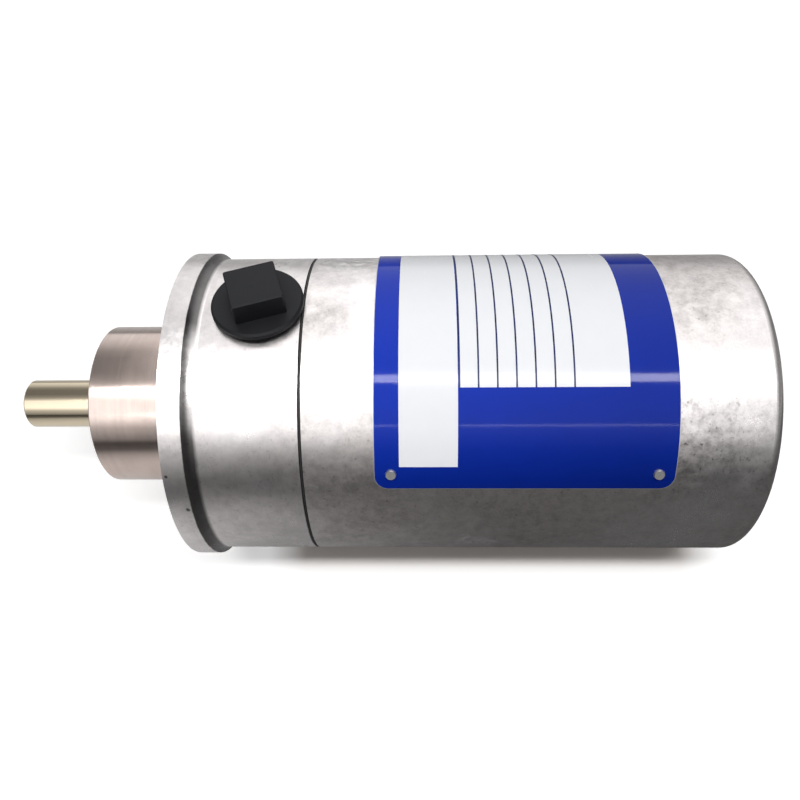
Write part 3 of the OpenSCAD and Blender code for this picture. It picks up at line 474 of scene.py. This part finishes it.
def circuit_board(name, mask, copper=(0.10, 0.30, 0.12)):
    """Solder mask over tracks.

    Tracks are the edges of a coarse brick grid on y and z, shown lighter where
    copper lies under the mask.
    """
    paint = Paint(name)
    flat = paint.node("ShaderNodeCombineXYZ", {0: paint.y, 1: paint.z, 2: 0.0})
    grid = paint.node("ShaderNodeTexBrick", {
        "Vector": flat, "Color1": (0, 0, 0), "Color2": (0, 0, 0), "Mortar": (1, 1, 1),
        "Scale": 130.0, "Mortar Size": 0.035, "Brick Width": 0.9, "Row Height": 0.33},
        {"offset": 0.37, "squash": 1.7, "squash_frequency": 3}, output="Fac")
    area = paint.noise(60.0, 1.0, 0.5, flat).above(0.47, 0.02)
    track = (grid * area).clamped()
    fine = paint.noise(900.0, 2.0, 0.5)
    shade = 1 + (fine - 0.5) * 0.2
    tint = paint.blend(track, mask, copper)
    return paint.finish(
        base_color=paint.blend(1.0, tint, paint.grey(shade), "MULTIPLY"), roughness=0.32,
        coat_weight=0.4, coat_roughness=0.15, normal=paint.bump(track, 0.06 * MM, 0.6))


def banded_resistor(name):
    """Resistor lacquer with four colour bands across its length, which lies along z."""
    paint = Paint(name)
    speck = paint.noise(1500.0, 2.0, 0.5)
    shade = 1 + (speck - 0.5) * 0.2
    body = paint.blend(1.0, (0.62, 0.47, 0.28), paint.grey(shade), "MULTIPLY")
    along = paint.z * 620.0
    band = along.math("FRACT", along).above(0.68, 0.05)
    return paint.finish(base_color=paint.blend(band, body, (0.22, 0.05, 0.02)), roughness=0.35)


def pale_floor():
    """Nearly white ground, whose looks depend on what kind of ray meets it.

    Metal sees it darker in front, and less so near the shaft. The camera sees it white but
    for a strip in the sensor's own shadow, which also carries a painted beige shadow tint, and
    whiter with the distance.
    """
    paint = Paint("pale_floor")
    mottle = paint.noise(30.0, 3.0, 0.5)
    reach = (paint.x ** 2 + paint.y ** 2) ** 0.5
    near = 1 - reach.above(0.17, 0.16)
    left = 1 - paint.x.above(0.035, 0.11)
    far_left = 1 - paint.x.above(-0.01, 0.06)
    behind = paint.y.above(0.03, 0.08)
    front = (left * 0.36 + far_left * 0.34) * near + 0.13
    seen = front * (1 - behind) + behind * (0.55 + left * 0.25)
    under = (1 - (-paint.y).above(0.0385, 0.009)) * (1 - paint.y.above(0.03, 0.05))
    under = under * paint.x.above(0.022, 0.014) * (1 - paint.x.above(0.170, 0.014))
    shade = (0.90 + mottle * 0.04) * (1 - paint.ray("Glossy") * (1 - seen))
    # Painted shadow: the strip under the sensor is tinted beige, so it stays darker under any lamp.
    tint = paint.blend(under, (1.0, 1.0, 1.0), (0.93, 0.87, 0.82))
    white = paint.ray("Camera") * (1 - under) * (0.40 + reach.above(0.45, 0.5) * 0.4)
    return paint.finish(
        base_color=paint.blend(1.0, tint, paint.grey(shade), "MULTIPLY"), roughness=0.9,
        specular_ior_level=0.0, emission_color=paint.grey(white), emission_strength=1.0)


MATERIALS = {}


def make_materials(finish):
    """All finishes, by the name that the pieces use."""
    steel = (0.66, 0.66, 0.67)
    dark = (0.07, 0.07, 0.075)
    brass = tuple(finish.brass)
    MATERIALS.update(
        cover=turned_metal(
            "cover_oxide", tuple(finish.cover), rough=0.26, line=0.05, cloud=0.85, stain=0.5,
            grain=0.75, worn=WORN, end=COVER_END - 0.4 * MM, bloom=0.8),
        # The base's cove carries painted shade.
        base=turned_metal(
            "base_turned", tuple(finish.base), rough=0.25, line=0.10, cloud=0.55, stain=0.35,
            grain=0.3, marks=MARKS, cove=(RIM_T, RIM_T + COVE_LENGTH), bloom=0.5),
        pilot=turned_metal(
            "pilot_turned", tuple(finish.pilot), rough=0.15, line=0.18, cloud=0.25, stain=0.5),
        shaft=turned_metal(
            "shaft_ground", tuple(finish.shaft), rough=0.10, line=0.03, cloud=0.08, stain=0.2),
        steel=plain_metal("bright_steel", steel, 0.28),
        pin=plain_metal("soft_pin", (0.58, 0.58, 0.58), 0.50, wear=0.3),
        copper=plain_metal("tinned_pads", (0.80, 0.78, 0.74), 0.25, wear=0.2),
        silk=printed("board_legend", (0.80, 0.80, 0.76), 0.5, mottle=0.2),
        thread=plain_metal("cut_thread", (0.80, 0.79, 0.78), 0.24, wear=0.25),
        dark_steel=plain_metal("blackened_steel", dark, 0.42),
        brass=plain_metal("machined_brass", brass, 0.24),
        wheel_brass=plain_metal("hobbed_brass", tuple(c * 1.04 for c in brass), 0.20, wear=0.18),
        bronze=plain_metal("sintered_bronze", (0.55, 0.34, 0.18), 0.42, wear=0.3),
        plate_alu=turned_metal(
            "gear_plate_satin", (0.78, 0.78, 0.77), rough=0.34, line=0.10, cloud=0.3, stain=0.1),
        rubber=moulded("seal_rubber", (0.012, 0.012, 0.012), 0.55),
        plug=moulded("plug_plastic", tuple(finish.plug), 0.52, grain=0.25, fleck=0.25, gloss=0.25),
        # The nameplate's ink and white print carry painted shade through fade.
        plate=printed("plate_ink", tuple(finish.plate), 0.08, mottle=0.16, fade=0.55),
        white_ink=printed("white_ink", tuple(finish.print_white), 0.18, mottle=0.05, fade=0.08),
        rule_ink=printed("rule_ink", tuple(finish.rule_ink), 0.30, mottle=0.10),
        pot_case=plain_metal("black_anodised", (0.055, 0.058, 0.066), 0.38),
        phenolic=moulded("brown_phenolic", (0.035, 0.022, 0.016), 0.36, grain=0.2, fleck=0.5),
        black=moulded("black_moulding", (0.018, 0.018, 0.02), 0.45),
        blue=moulded("blue_moulding", (0.02, 0.10, 0.42), 0.30),
        sleeve=moulded("capacitor_sleeve", (0.015, 0.025, 0.10), 0.28, grain=0.1),
        lead=moulded("lead_insulation", (0.50, 0.02, 0.015), 0.38, grain=0.1),
        green=plain_metal("green_zinc", (0.10, 0.42, 0.16), 0.34),
        board=circuit_board("solder_mask", tuple(finish.board)),
        resistor=banded_resistor("resistor_lacquer"),
        solder=plain_metal("solder", (0.72, 0.72, 0.74), 0.22),
    )


NODE_FINISH = {
    "base_housing": "base", "pilot_hub": "pilot", "hub_locknut": "steel",
    "shaft_seal": "rubber", "outer_bearing_rings": "steel", "outer_spacer": "steel",
    "hub_retaining_ring": "dark_steel", "input_shaft": "shaft", "inner_bearing_rings": "steel",
    "inner_spacer": "steel", "shaft_retaining_ring": "dark_steel", "drive_pinion": "steel",
    "drive_set_screw": "dark_steel", "bearing_balls": "steel", "bearing_cages": "brass",
    "cover_seal": "rubber", "cover": "cover", "nameplate": "plate", "nameplate_pins": "pin",
    "conduit_plug": "plug", "front_gear_plate": "plate_alu", "rear_gear_plate": "plate_alu",
    "base_standoffs": "brass", "gear_standoffs": "brass", "board_standoffs": "brass",
    "idler_bushings": "bronze", "idler_shaft": "shaft", "idler_wheel": "wheel_brass",
    "idler_pinion": "steel", "split_wheel_fixed": "wheel_brass",
    "split_wheel_loose": "wheel_brass", "split_wheel_springs": "steel",
    "split_wheel_ring": "dark_steel", "pot_shaft": "shaft", "pot_set_screw": "dark_steel",
    "pot_body": "pot_case", "pot_cap": "phenolic", "pot_turrets": "brass",
    "pot_clamps": "steel", "pot_clamp_screws": "steel", "pot_leads": "lead",
    "board": "board", "board_screws": "steel", "terminal_block": "black",
    "terminal_screws": "steel", "zero_trimmer": "blue", "span_trimmer": "blue",
    "zero_screw": "brass", "span_screw": "brass", "capacitors": "sleeve",
    "control_chips": "black", "regulator": "black", "resistors": "resistor",
    "ground_screw": "green",
}


def mesh_object(name, shapes, material, body, smooth=True):
    """A new piece from a list of shapes, each of points and faces, riding on a body."""
    verts, faces, offset = [], [], 0
    for points, loops in shapes:
        verts.append(points)
        faces += [[i + offset for i in loop] for loop in outward(points, loops)]
        offset += len(points)
    mesh = bpy.data.meshes.new(name)
    mesh.from_pydata(np.concatenate(verts).tolist(), [], faces)
    mesh.validate()
    mesh.polygons.foreach_set("use_smooth", np.full(len(mesh.polygons), smooth))
    mesh.materials.append(MATERIALS[material])
    piece = bpy.data.objects.new(name, mesh)
    bpy.context.scene.collection.objects.link(piece)
    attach(piece, body)


def outward(points, loops):
    """The faces of a closed shape, turned over if the volume that they enclose is negative."""
    fans = np.array([[loop[0], loop[k], loop[k + 1]]
                     for loop in loops for k in range(1, len(loop) - 1)])
    a, b, c = (points[fans[:, k]] - points.mean(axis=0) for k in range(3))
    volume = np.einsum("ij,ij->", a, np.cross(b, c))
    return loops if volume > 0 else [loop[::-1] for loop in loops]


def grid_faces(rows, columns, wrap_rows=False, wrap_columns=False):
    """Quads between the rows and columns of a grid, which can close on itself either way."""
    i = np.arange(rows if wrap_rows else rows - 1)
    j = np.arange(columns if wrap_columns else columns - 1)
    i, j = (a.ravel() for a in np.meshgrid(i, j, indexing="ij"))
    down, right = (i + 1) % rows, (j + 1) % columns
    return np.stack([i * columns + j, down * columns + j, down * columns + right,
                     i * columns + right], axis=1).tolist()


def round_x(along, radius, angle):
    """Round the shaft axis: (along, radius sin angle, radius cos angle)."""
    along, radius, angle = np.broadcast_arrays(along, radius, angle)
    return np.stack([along, radius * np.sin(angle), radius * np.cos(angle)], axis=-1)


def round_plug(along, radius, angle):
    """Round the conduit entry's axis: (its x + radius cos angle, radius sin angle, along)."""
    along, radius, angle = np.broadcast_arrays(along, radius, angle)
    return np.stack([PLUG_X + radius * np.cos(angle), radius * np.sin(angle), along], axis=-1)


def thread(place, radius, start, length, pitch, height, steps=72):
    """A helical ridge round an axis.

    At the angle a it lies at start + pitch * a / turn along the axis. Its section is a
    blunt triangle sunk a little into the wall, and it fades out over the last half turn at
    either end. A negative height makes it stand inwards. Each turn has a number of steps.
    """
    turns = length / pitch
    a = np.linspace(0.0, turns * TURN, int(turns * steps))[:, None]
    fade = np.clip(np.minimum(a, turns * TURN - a) / math.pi, 0.02, 1.0)
    along = np.array([-0.44, -0.10, 0.10, 0.44]) * pitch
    rise = np.array([-0.2, 1.0, 1.0, -0.2]) * height
    sunk = np.array([1.0, 0.0, 0.0, 1.0])
    points = place(start + a * pitch / TURN + along, radius + rise * (sunk + (1 - sunk) * fade), a)
    last = 4 * (len(a) - 1)
    faces = grid_faces(len(a), 4, wrap_columns=True)
    caps = [[3, 2, 1, 0], [last, last + 1, last + 2, last + 3]]
    return points.reshape(-1, 3), faces + caps


def ring(place, start, radius, thick, sides=96, steps=10):
    """A torus round an axis: start + t cos b along it, at the radius + t sin b."""
    a = np.linspace(0.0, TURN, sides, endpoint=False)[:, None]
    b = np.linspace(0.0, TURN, steps, endpoint=False)
    points = place(start + thick * np.cos(b), radius + thick * np.sin(b), a)
    return points.reshape(-1, 3), grid_faces(sides, steps, True, True)


def turned(centre, profile, sides=16):
    """A revolved shape that stands on the board along +X at a centre (y, z).

    The profile lists (x, radius) from the foot to the top; both ends are closed flat.
    """
    x, radius = np.array(profile).T
    a = np.linspace(0.0, TURN, sides, endpoint=False)
    points = round_x(x[:, None], radius[:, None], a) + np.array([0.0, *centre])
    faces = grid_faces(len(x), sides, wrap_columns=True)
    last = sides * (len(x) - 1)
    return points.reshape(-1, 3), faces + [list(range(sides)), [last + k for k in range(sides)]]


def loop_strip(path, section, place):
    """A closed strip along a closed path.

    The path has points (u, v), counted anticlockwise. The section lists (out, height). A
    point lies at the path's point + out times the path's outward normal, and at the height.
    """
    ahead = np.roll(path, -1, axis=0) - np.roll(path, 1, axis=0)
    normal = np.stack([ahead[:, 1], -ahead[:, 0]], axis=1)
    normal /= np.linalg.norm(normal, axis=1)[:, None]
    out, height = np.array(section).T
    flat = path[:, None, :] + normal[:, None, :] * out[None, :, None]
    points = place(flat[..., 0], flat[..., 1], height + 0 * flat[..., 0])
    return points.reshape(-1, 3), grid_faces(len(path), len(out), True, True)


def round_box(u0, v0, u1, v1, radius, step=1.2 * MM):
    """A rectangle with round corners as a closed path, anticlockwise.

    Each corner is its centre + radius times (cos turn, sin turn) over a quarter turn, and
    the straight stretches between them are cut into even steps.
    """
    corners = [(u1 - radius, v0 + radius, -90), (u1 - radius, v1 - radius, 0),
               (u0 + radius, v1 - radius, 90), (u0 + radius, v0 + radius, 180)]
    path = []
    for u, v, first in corners:
        turn = np.radians(first + np.linspace(0.0, 90.0, 9))
        arc = np.stack([u + radius * np.cos(turn), v + radius * np.sin(turn)], axis=1)
        if path:
            path.append(between(path[-1][-1], arc[0], step))
        path.append(arc)
    path.append(between(path[-1][-1], path[0][0], step))
    return np.concatenate(path)


def between(start, end, step):
    """The points strictly between two ends of a straight stretch."""
    count = max(2, int(np.linalg.norm(end - start) / step))
    t = np.linspace(0.0, 1.0, count + 1)[1:-1, None]
    return start + (end - start) * t


def plate_point(u, v, height):
    """A point over the nameplate's place.

    u runs along the axis from the plate's left edge and v round the cover from the
    plate's lower edge; the angle is v over the cover's radius, and height is radial.
    """
    angle = v / BODY_R - PLATE_HALF_ANGLE
    radius = BODY_R + height
    return np.stack([PLATE_LOW.x + u, radius * np.sin(angle), radius * np.cos(angle)], axis=-1)


def print_patch(u0, u1, v0, v1, low, high, step=0.8 * MM):
    """A closed thin block of print that follows the plate's curve.

    Its outline is the rectangle u0..u1 by v0..v1; the skin is one ring of points
    carried along v, with caps at both ends.
    """
    steps = max(2, int(abs(v1 - v0) / step))
    v = np.linspace(v0, v1, steps + 1)
    ring_u = np.array([u0, u1, u1, u0])
    ring_h = np.array([low, low, high, high])
    verts = plate_point(ring_u[None, :] + 0 * v[:, None], v[:, None] + 0 * ring_u[None, :],
                        ring_h[None, :] + 0 * v[:, None]).reshape(-1, 3)
    faces = grid_faces(steps + 1, 4, wrap_columns=True)
    last = steps * 4
    return verts, faces + [[3, 2, 1, 0], [last, last + 1, last + 2, last + 3]]


class SENSOR_OT_finishes(bpy.types.Operator):
    """Give every solid of the sensor its finish"""

    bl_idname = "sensor.finishes"
    bl_label = "Finishes"

    def execute(self, context):
        make_materials(context.scene.sensor_finish)
        for name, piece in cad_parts.items():
            piece.data.materials.clear()
            piece.data.materials.append(MATERIALS[NODE_FINISH[name]])
        return {"FINISHED"}


class SENSOR_OT_nameplate(bpy.types.Operator):
    """Print the white panels and the rules on the nameplate"""

    bl_idname = "sensor.nameplate"
    bl_label = "Nameplate print"

    def execute(self, context):
        layout = context.scene.sensor_print
        top = PLATE_ARC - layout.panel_low
        low, high = PLATE_RISE - PRINT_SUNK, PLATE_RISE + PRINT_PROUD
        panel = print_patch(layout.panel_left, layout.panel_right, layout.panel_low, top, low, high)
        field = print_patch(layout.rule_first, layout.field_right, layout.field_low, top, low, high)
        mesh_object("print_panels", [panel, field], "white_ink", "cover", False)
        half = layout.rule_width / 2
        middles = [layout.rule_first + i * layout.rule_step for i in range(layout.rule_count)]
        rules = [print_patch(u - half, u + half, layout.field_low, top, low, high + RULE_PROUD)
                 for u in middles]
        mesh_object("print_rules", rules, "rule_ink", "cover", False)
        self.add_edge()
        return {"FINISHED"}

    def add_edge(self):
        """The bare cut edge of the sheet, a little proud of the ink all round."""
        path = round_box(0.0, 0.0, PLATE_HIGH.x - PLATE_LOW.x, PLATE_ARC, PLATE_CORNER)
        inner, outer = -0.16 * MM, 0.05 * MM
        foot, top = 0.1 * MM, PLATE_RISE + EDGE_PROUD
        section = [(inner, foot), (outer, foot), (outer, top), (inner, top)]
        strip = loop_strip(path, section, plate_point)
        mesh_object("plate_edge", [strip], "pin", "cover", False)


class SENSOR_OT_threads(bpy.types.Operator):
    """Cut the threads of the cover, the spigot, the plug and the conduit entry"""

    bl_idname = "sensor.threads"
    bl_label = "Threads"

    def execute(self, context):
        cut = context.scene.sensor_thread
        start = SEAM_X + THREAD_INSET
        length = SPIGOT_END - start - THREAD_INSET
        shift = cut.cover_pitch / 2
        outer = thread(round_x, SPIGOT_R, start, length, cut.cover_pitch, cut.cover_height)
        inner = thread(round_x, COVER_IN_R, start + shift, length, cut.cover_pitch,
                       -cut.cover_height)
        mesh_object("spigot_thread", [outer], "thread", "housing")
        mesh_object("cover_thread", [inner], "thread", "cover")
        foot = PLUG_LOW.z + PLUG_THREAD_INSET
        length = BODY_R - ENTRY_THREAD_INSET - foot
        shank = thread(round_plug, PLUG_SHANK_R, foot, length, cut.plug_pitch, cut.plug_height)
        entry = thread(round_plug, PLUG_SHANK_R + PLUG_GAP, foot + cut.plug_pitch / 2, length,
                       cut.plug_pitch, -cut.plug_height)
        mesh_object("plug_thread", [shank], "plug", "plug")
        mesh_object("entry_thread", [entry], "thread", "housing")
        return {"FINISHED"}


class SENSOR_OT_seal(bpy.types.Operator):
    """Round the seal's outer edge with a bead"""

    bl_idname = "sensor.seal"
    bl_label = "Seal bead"

    def execute(self, context):
        half = (SEAL_HIGH.x - SEAL_LOW.x) / 2
        bead = ring(round_x, SEAL_LOW.x + half, SEAL_HIGH.z, half * 0.92)
        mesh_object("seal_bead", [bead], "rubber", "housing")
        return {"FINISHED"}


class SENSOR_OT_board(bpy.types.Operator):
    """Add the board's pads, solder, legend and the capacitors' tops"""

    bl_idname = "sensor.board"
    bl_label = "Board details"

    def execute(self, context):
        cap_r = (CAPS_HIGH.z - CAPS_LOW.z) / 2
        cap_z = CAPS_LOW.z + cap_r
        caps = [(CAPS_LOW.y + cap_r, cap_z), (CAPS_HIGH.y - cap_r, cap_z)]
        self.add_cap_tops(caps, cap_r)
        self.add_solder()
        self.add_vias()
        self.add_legend(caps, cap_r)
        return {"FINISHED"}

    def add_cap_tops(self, caps, cap_r):
        """A bare top with a dished middle on each capacitor, inside its sleeve's edge."""
        top = CAPS_HIGH.x
        profile = [(top - 0.3 * MM, cap_r - 0.9 * MM), (top + 0.12 * MM, cap_r - 0.9 * MM),
                   (top + 0.20 * MM, cap_r - 1.3 * MM), (top + 0.20 * MM, 1.2 * MM),
                   (top + 0.08 * MM, 0.3 * MM)]
        tops = [turned(centre, profile, 32) for centre in caps]
        mesh_object("capacitor_tops", tops, "steel", "housing")

    def add_solder(self):
        """A cone of solder at each leg of the regulator and each end of a resistor."""
        chip_y = (CHIP_LOW.y + CHIP_HIGH.y) / 2 - 0.6 * MM
        chip_z = (CHIP_LOW.z + CHIP_HIGH.z) / 2
        legs = [(chip_y, chip_z + k * PIN_STEP) for k in (-1, 0, 1)]
        inset = 0.35 * MM
        step = (RESISTOR_HIGH.y - RESISTOR_LOW.y) / RESISTOR_COUNT
        spread = (RESISTOR_COUNT - 1) * RESISTOR_STAGGER
        length = RESISTOR_HIGH.z - RESISTOR_LOW.z - spread - 2 * inset
        ends = [(RESISTOR_LOW.y + step * (k + 0.5), RESISTOR_HIGH.z - inset - k * RESISTOR_STAGGER)
                for k in range(RESISTOR_COUNT)]
        ends += [(y, z - length) for y, z in ends]
        cone = [(BOARD_FACE, 0.9 * MM), (BOARD_FACE + 0.25 * MM, 0.75 * MM),
                (BOARD_FACE + 0.6 * MM, 0.45 * MM)]
        joints = [turned(centre, cone, 12) for centre in legs + ends]
        mesh_object("solder_joints", joints, "solder", "housing")

    def add_vias(self):
        """Tinned pads with a hole, at places (y, z) between the parts, in millimetres."""
        profile = [(BOARD_FACE - 0.4 * MM, 0.55 * MM), (BOARD_FACE + 0.05 * MM, 0.55 * MM),
                   (BOARD_FACE + 0.05 * MM, 0.28 * MM), (BOARD_FACE - 0.1 * MM, 0.24 * MM)]
        places = (
            (-17, 28), (-12, 26), (15, 27), (19, 22), (22, 17), (30, -6), (28, -14), (-14, 20),
            (-19, 15), (-27, 18), (2, 12), (-2, 2), (4, 1), (18, 0), (-19, -1), (12, -27),
            (4, -30), (-6, -29), (-14, -25), (-27, -16), (33, 4), (1, 31))
        pads = [turned((y * MM, z * MM), profile, 12) for y, z in places]
        mesh_object("via_pads", pads, "copper", "housing")

    def add_legend(self, caps, cap_r):
        """Plain outlines round the parts, printed on the board."""
        def on_board(u, v, height):
            return np.stack([BOARD_FACE + height, u, v], axis=-1)

        width = 0.25 * MM
        section = [(0.0, -PRINT_SUNK), (width, -PRINT_SUNK), (width, PRINT_PROUD),
                   (0.0, PRINT_PROUD)]
        grow = cap_r + 0.4 * MM
        outlines = [round_box(y - grow, z - grow, y + grow, z + grow, cap_r) for y, z in caps]
        grow = 0.6 * MM
        for name in ("zero_trimmer", "span_trimmer", "regulator", "terminal_block", "resistors"):
            low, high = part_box(name)
            outlines.append(round_box(low.y - grow, low.z - grow, high.y + grow, high.z + grow,
                                      0.8 * MM))
        strips = [loop_strip(path, section, on_board) for path in outlines]
        mesh_object("board_legend", strips, "silk", "housing", False)


def sight_frame(studio):
    """The camera's place and its right, up and back directions."""
    away = Vector((0.0, math.cos(studio.elevation), -math.sin(studio.elevation)))
    over = Vector((0.0, math.sin(studio.elevation), math.cos(studio.elevation)))
    along = Vector((1.0, 0.0, 0.0))
    place = along * studio.along - away * studio.distance
    ahead = (along * math.sin(studio.yaw) + away * math.cos(studio.yaw)) * math.cos(studio.pitch)
    ahead = ahead + over * math.sin(studio.pitch)
    right = along * math.cos(studio.yaw) - away * math.sin(studio.yaw)
    up = right.cross(ahead)
    rolled = right * math.cos(studio.roll) + up * math.sin(studio.roll)
    upright = up * math.cos(studio.roll) - right * math.sin(studio.roll)
    return place, rolled, upright, -ahead


class SENSOR_OT_studio(bpy.types.Operator):
    """Set up the floor, the lamps and the camera"""

    bl_idname = "sensor.studio"
    bl_label = "Studio"

    def execute(self, context):
        scene = context.scene
        scene.view_settings.view_transform = "Standard"
        self.add_camera(scene)
        self.add_floor()
        self.add_world(scene)
        self.add_lamp("key_softbox", rise=71.5, length=0.70, width=0.06, power=3.0)
        self.add_lamp("thin_strip", rise=39.0, length=0.60, width=0.012, power=0.15)
        return {"FINISHED"}

    def add_lamp(self, name, rise, length, width, power):
        """A softbox along the shaft, at an angle in degrees from the front up and over."""
        angle = math.radians(rise)
        lamp = bpy.data.lights.new(name, "AREA")
        lamp.shape = "RECTANGLE"
        lamp.size = length
        lamp.size_y = width
        lamp.energy = power
        piece = bpy.data.objects.new(name, lamp)
        piece.location = (LAMP_ALONG, -LAMP_REACH * math.cos(angle), LAMP_REACH * math.sin(angle))
        piece.rotation_euler = (math.radians(90) - angle, 0.0, 0.0)
        bpy.context.scene.collection.objects.link(piece)

    def add_camera(self, scene):
        """The camera at the photograph's place, with its whole frame."""
        studio = scene.sensor_studio
        place, right, up, back = sight_frame(studio)
        camera = bpy.data.cameras.new("photo_camera")
        camera.sensor_fit = "HORIZONTAL"
        camera.sensor_width = FILM_WIDTH
        camera.lens = studio.focal / FRAME_PIXELS * FILM_WIDTH
        camera.clip_start = 0.01
        piece = bpy.data.objects.new("photo_camera", camera)
        axes = Matrix((right, up, back)).transposed().to_4x4()
        piece.matrix_world = Matrix.Translation(place) @ axes
        scene.collection.objects.link(piece)
        scene.camera = piece

    def add_floor(self):
        """A wide plane that touches the rim and the far end of the cover."""
        rim = Vector((RIM_TOUCH_X, -RIM_R))
        tail = Vector((COVER_END - COVER_EDGE, -BODY_R))
        slope = (tail.y - rim.y) / (tail.x - rim.x)
        x = np.array([-FLOOR_HALF, FLOOR_HALF, FLOOR_HALF, -FLOOR_HALF])
        y = np.array([-FLOOR_HALF, -FLOOR_HALF, FLOOR_HALF, FLOOR_HALF])
        z = rim.y - FLOOR_CLEAR + (x - rim.x) * slope
        mesh = bpy.data.meshes.new("floor")
        mesh.from_pydata(np.stack([x, y, z], 1).tolist(), [], [(0, 1, 2, 3)])
        mesh.materials.append(pale_floor())
        floor = bpy.data.objects.new("floor", mesh)
        bpy.context.scene.collection.objects.link(floor)

    def add_world(self, scene):
        """White to the camera. Metal sees a long tent of light over the sensor.

        The tent's level goes by the angle round the shaft axis. Towards the shaft's end
        another table multiplies it, and along the axis it fades to an even grey.
        """
        world = bpy.data.worlds.new("studio")
        world.use_nodes = True
        scene.world = world
        sky = Nodes(world.node_tree)
        way = sky.node("ShaderNodeTexCoord", output="Generated")
        x, y, z = (sky.node("ShaderNodeSeparateXYZ", {0: way}, output=i) for i in range(3))
        turn = z.math("ARCTAN2", z, -y) / TURN + 0.5
        tent, gap = (
            sky.node("ShaderNodeValToRGB", {0: turn}, {"stops": [
                ((angle + 180) / 360, (level, level, level)) for angle, level in table]})
            for table in (TENT, GAP))
        left = (-x).above(0.325, 0.06)
        sideways = (x * x) ** 3
        level = tent * 2 * (1 - left * (1 - gap * 4))
        level = level * (1.2 - x * x * 1.6) * (1 - sideways) + sideways * 0.55
        camera = sky.ray("Camera")
        strength = camera * 1.25 + (1 - camera) * level * (sky.ray("Glossy") * 0.67 + 0.33)
        light = sky.node("ShaderNodeBackground", {"Color": (0.8, 0.8, 0.8), "Strength": strength})
        sky.node("ShaderNodeOutputWorld", {0: light})


class SENSOR_PT_panel(bpy.types.Panel):
    """Lists the sensor's steps in the sidebar"""

    bl_idname = "SENSOR_PT_panel"
    bl_label = "Position sensor"
    bl_space_type = "VIEW_3D"
    bl_region_type = "UI"
    bl_category = "Sensor"

    def draw(self, context):
        for step in STEPS:
            self.layout.operator(step.bl_idname)


STEPS = (SENSOR_OT_finishes, SENSOR_OT_nameplate, SENSOR_OT_threads, SENSOR_OT_seal,
         SENSOR_OT_board, SENSOR_OT_studio)
GROUPS = {"sensor_finish": SensorFinish, "sensor_print": SensorPrint,
          "sensor_thread": SensorThread, "sensor_studio": SensorStudio}


def register():
    for group in GROUPS.values():
        bpy.utils.register_class(group)
    for name, group in GROUPS.items():
        setattr(bpy.types.Scene, name, PointerProperty(type=group))
    for step in STEPS:
        bpy.utils.register_class(step)
    bpy.utils.register_class(SENSOR_PT_panel)


def unregister():
    bpy.utils.unregister_class(SENSOR_PT_panel)
    for step in reversed(STEPS):
        bpy.utils.unregister_class(step)
    for name in GROUPS:
        delattr(bpy.types.Scene, name)
    for group in reversed(GROUPS.values()):
        bpy.utils.unregister_class(group)


def main():
    register()
    for step in STEPS:
        group, name = step.bl_idname.split(".")
        getattr(getattr(bpy.ops, group), name)()


if __name__ == "__main__":
    main()
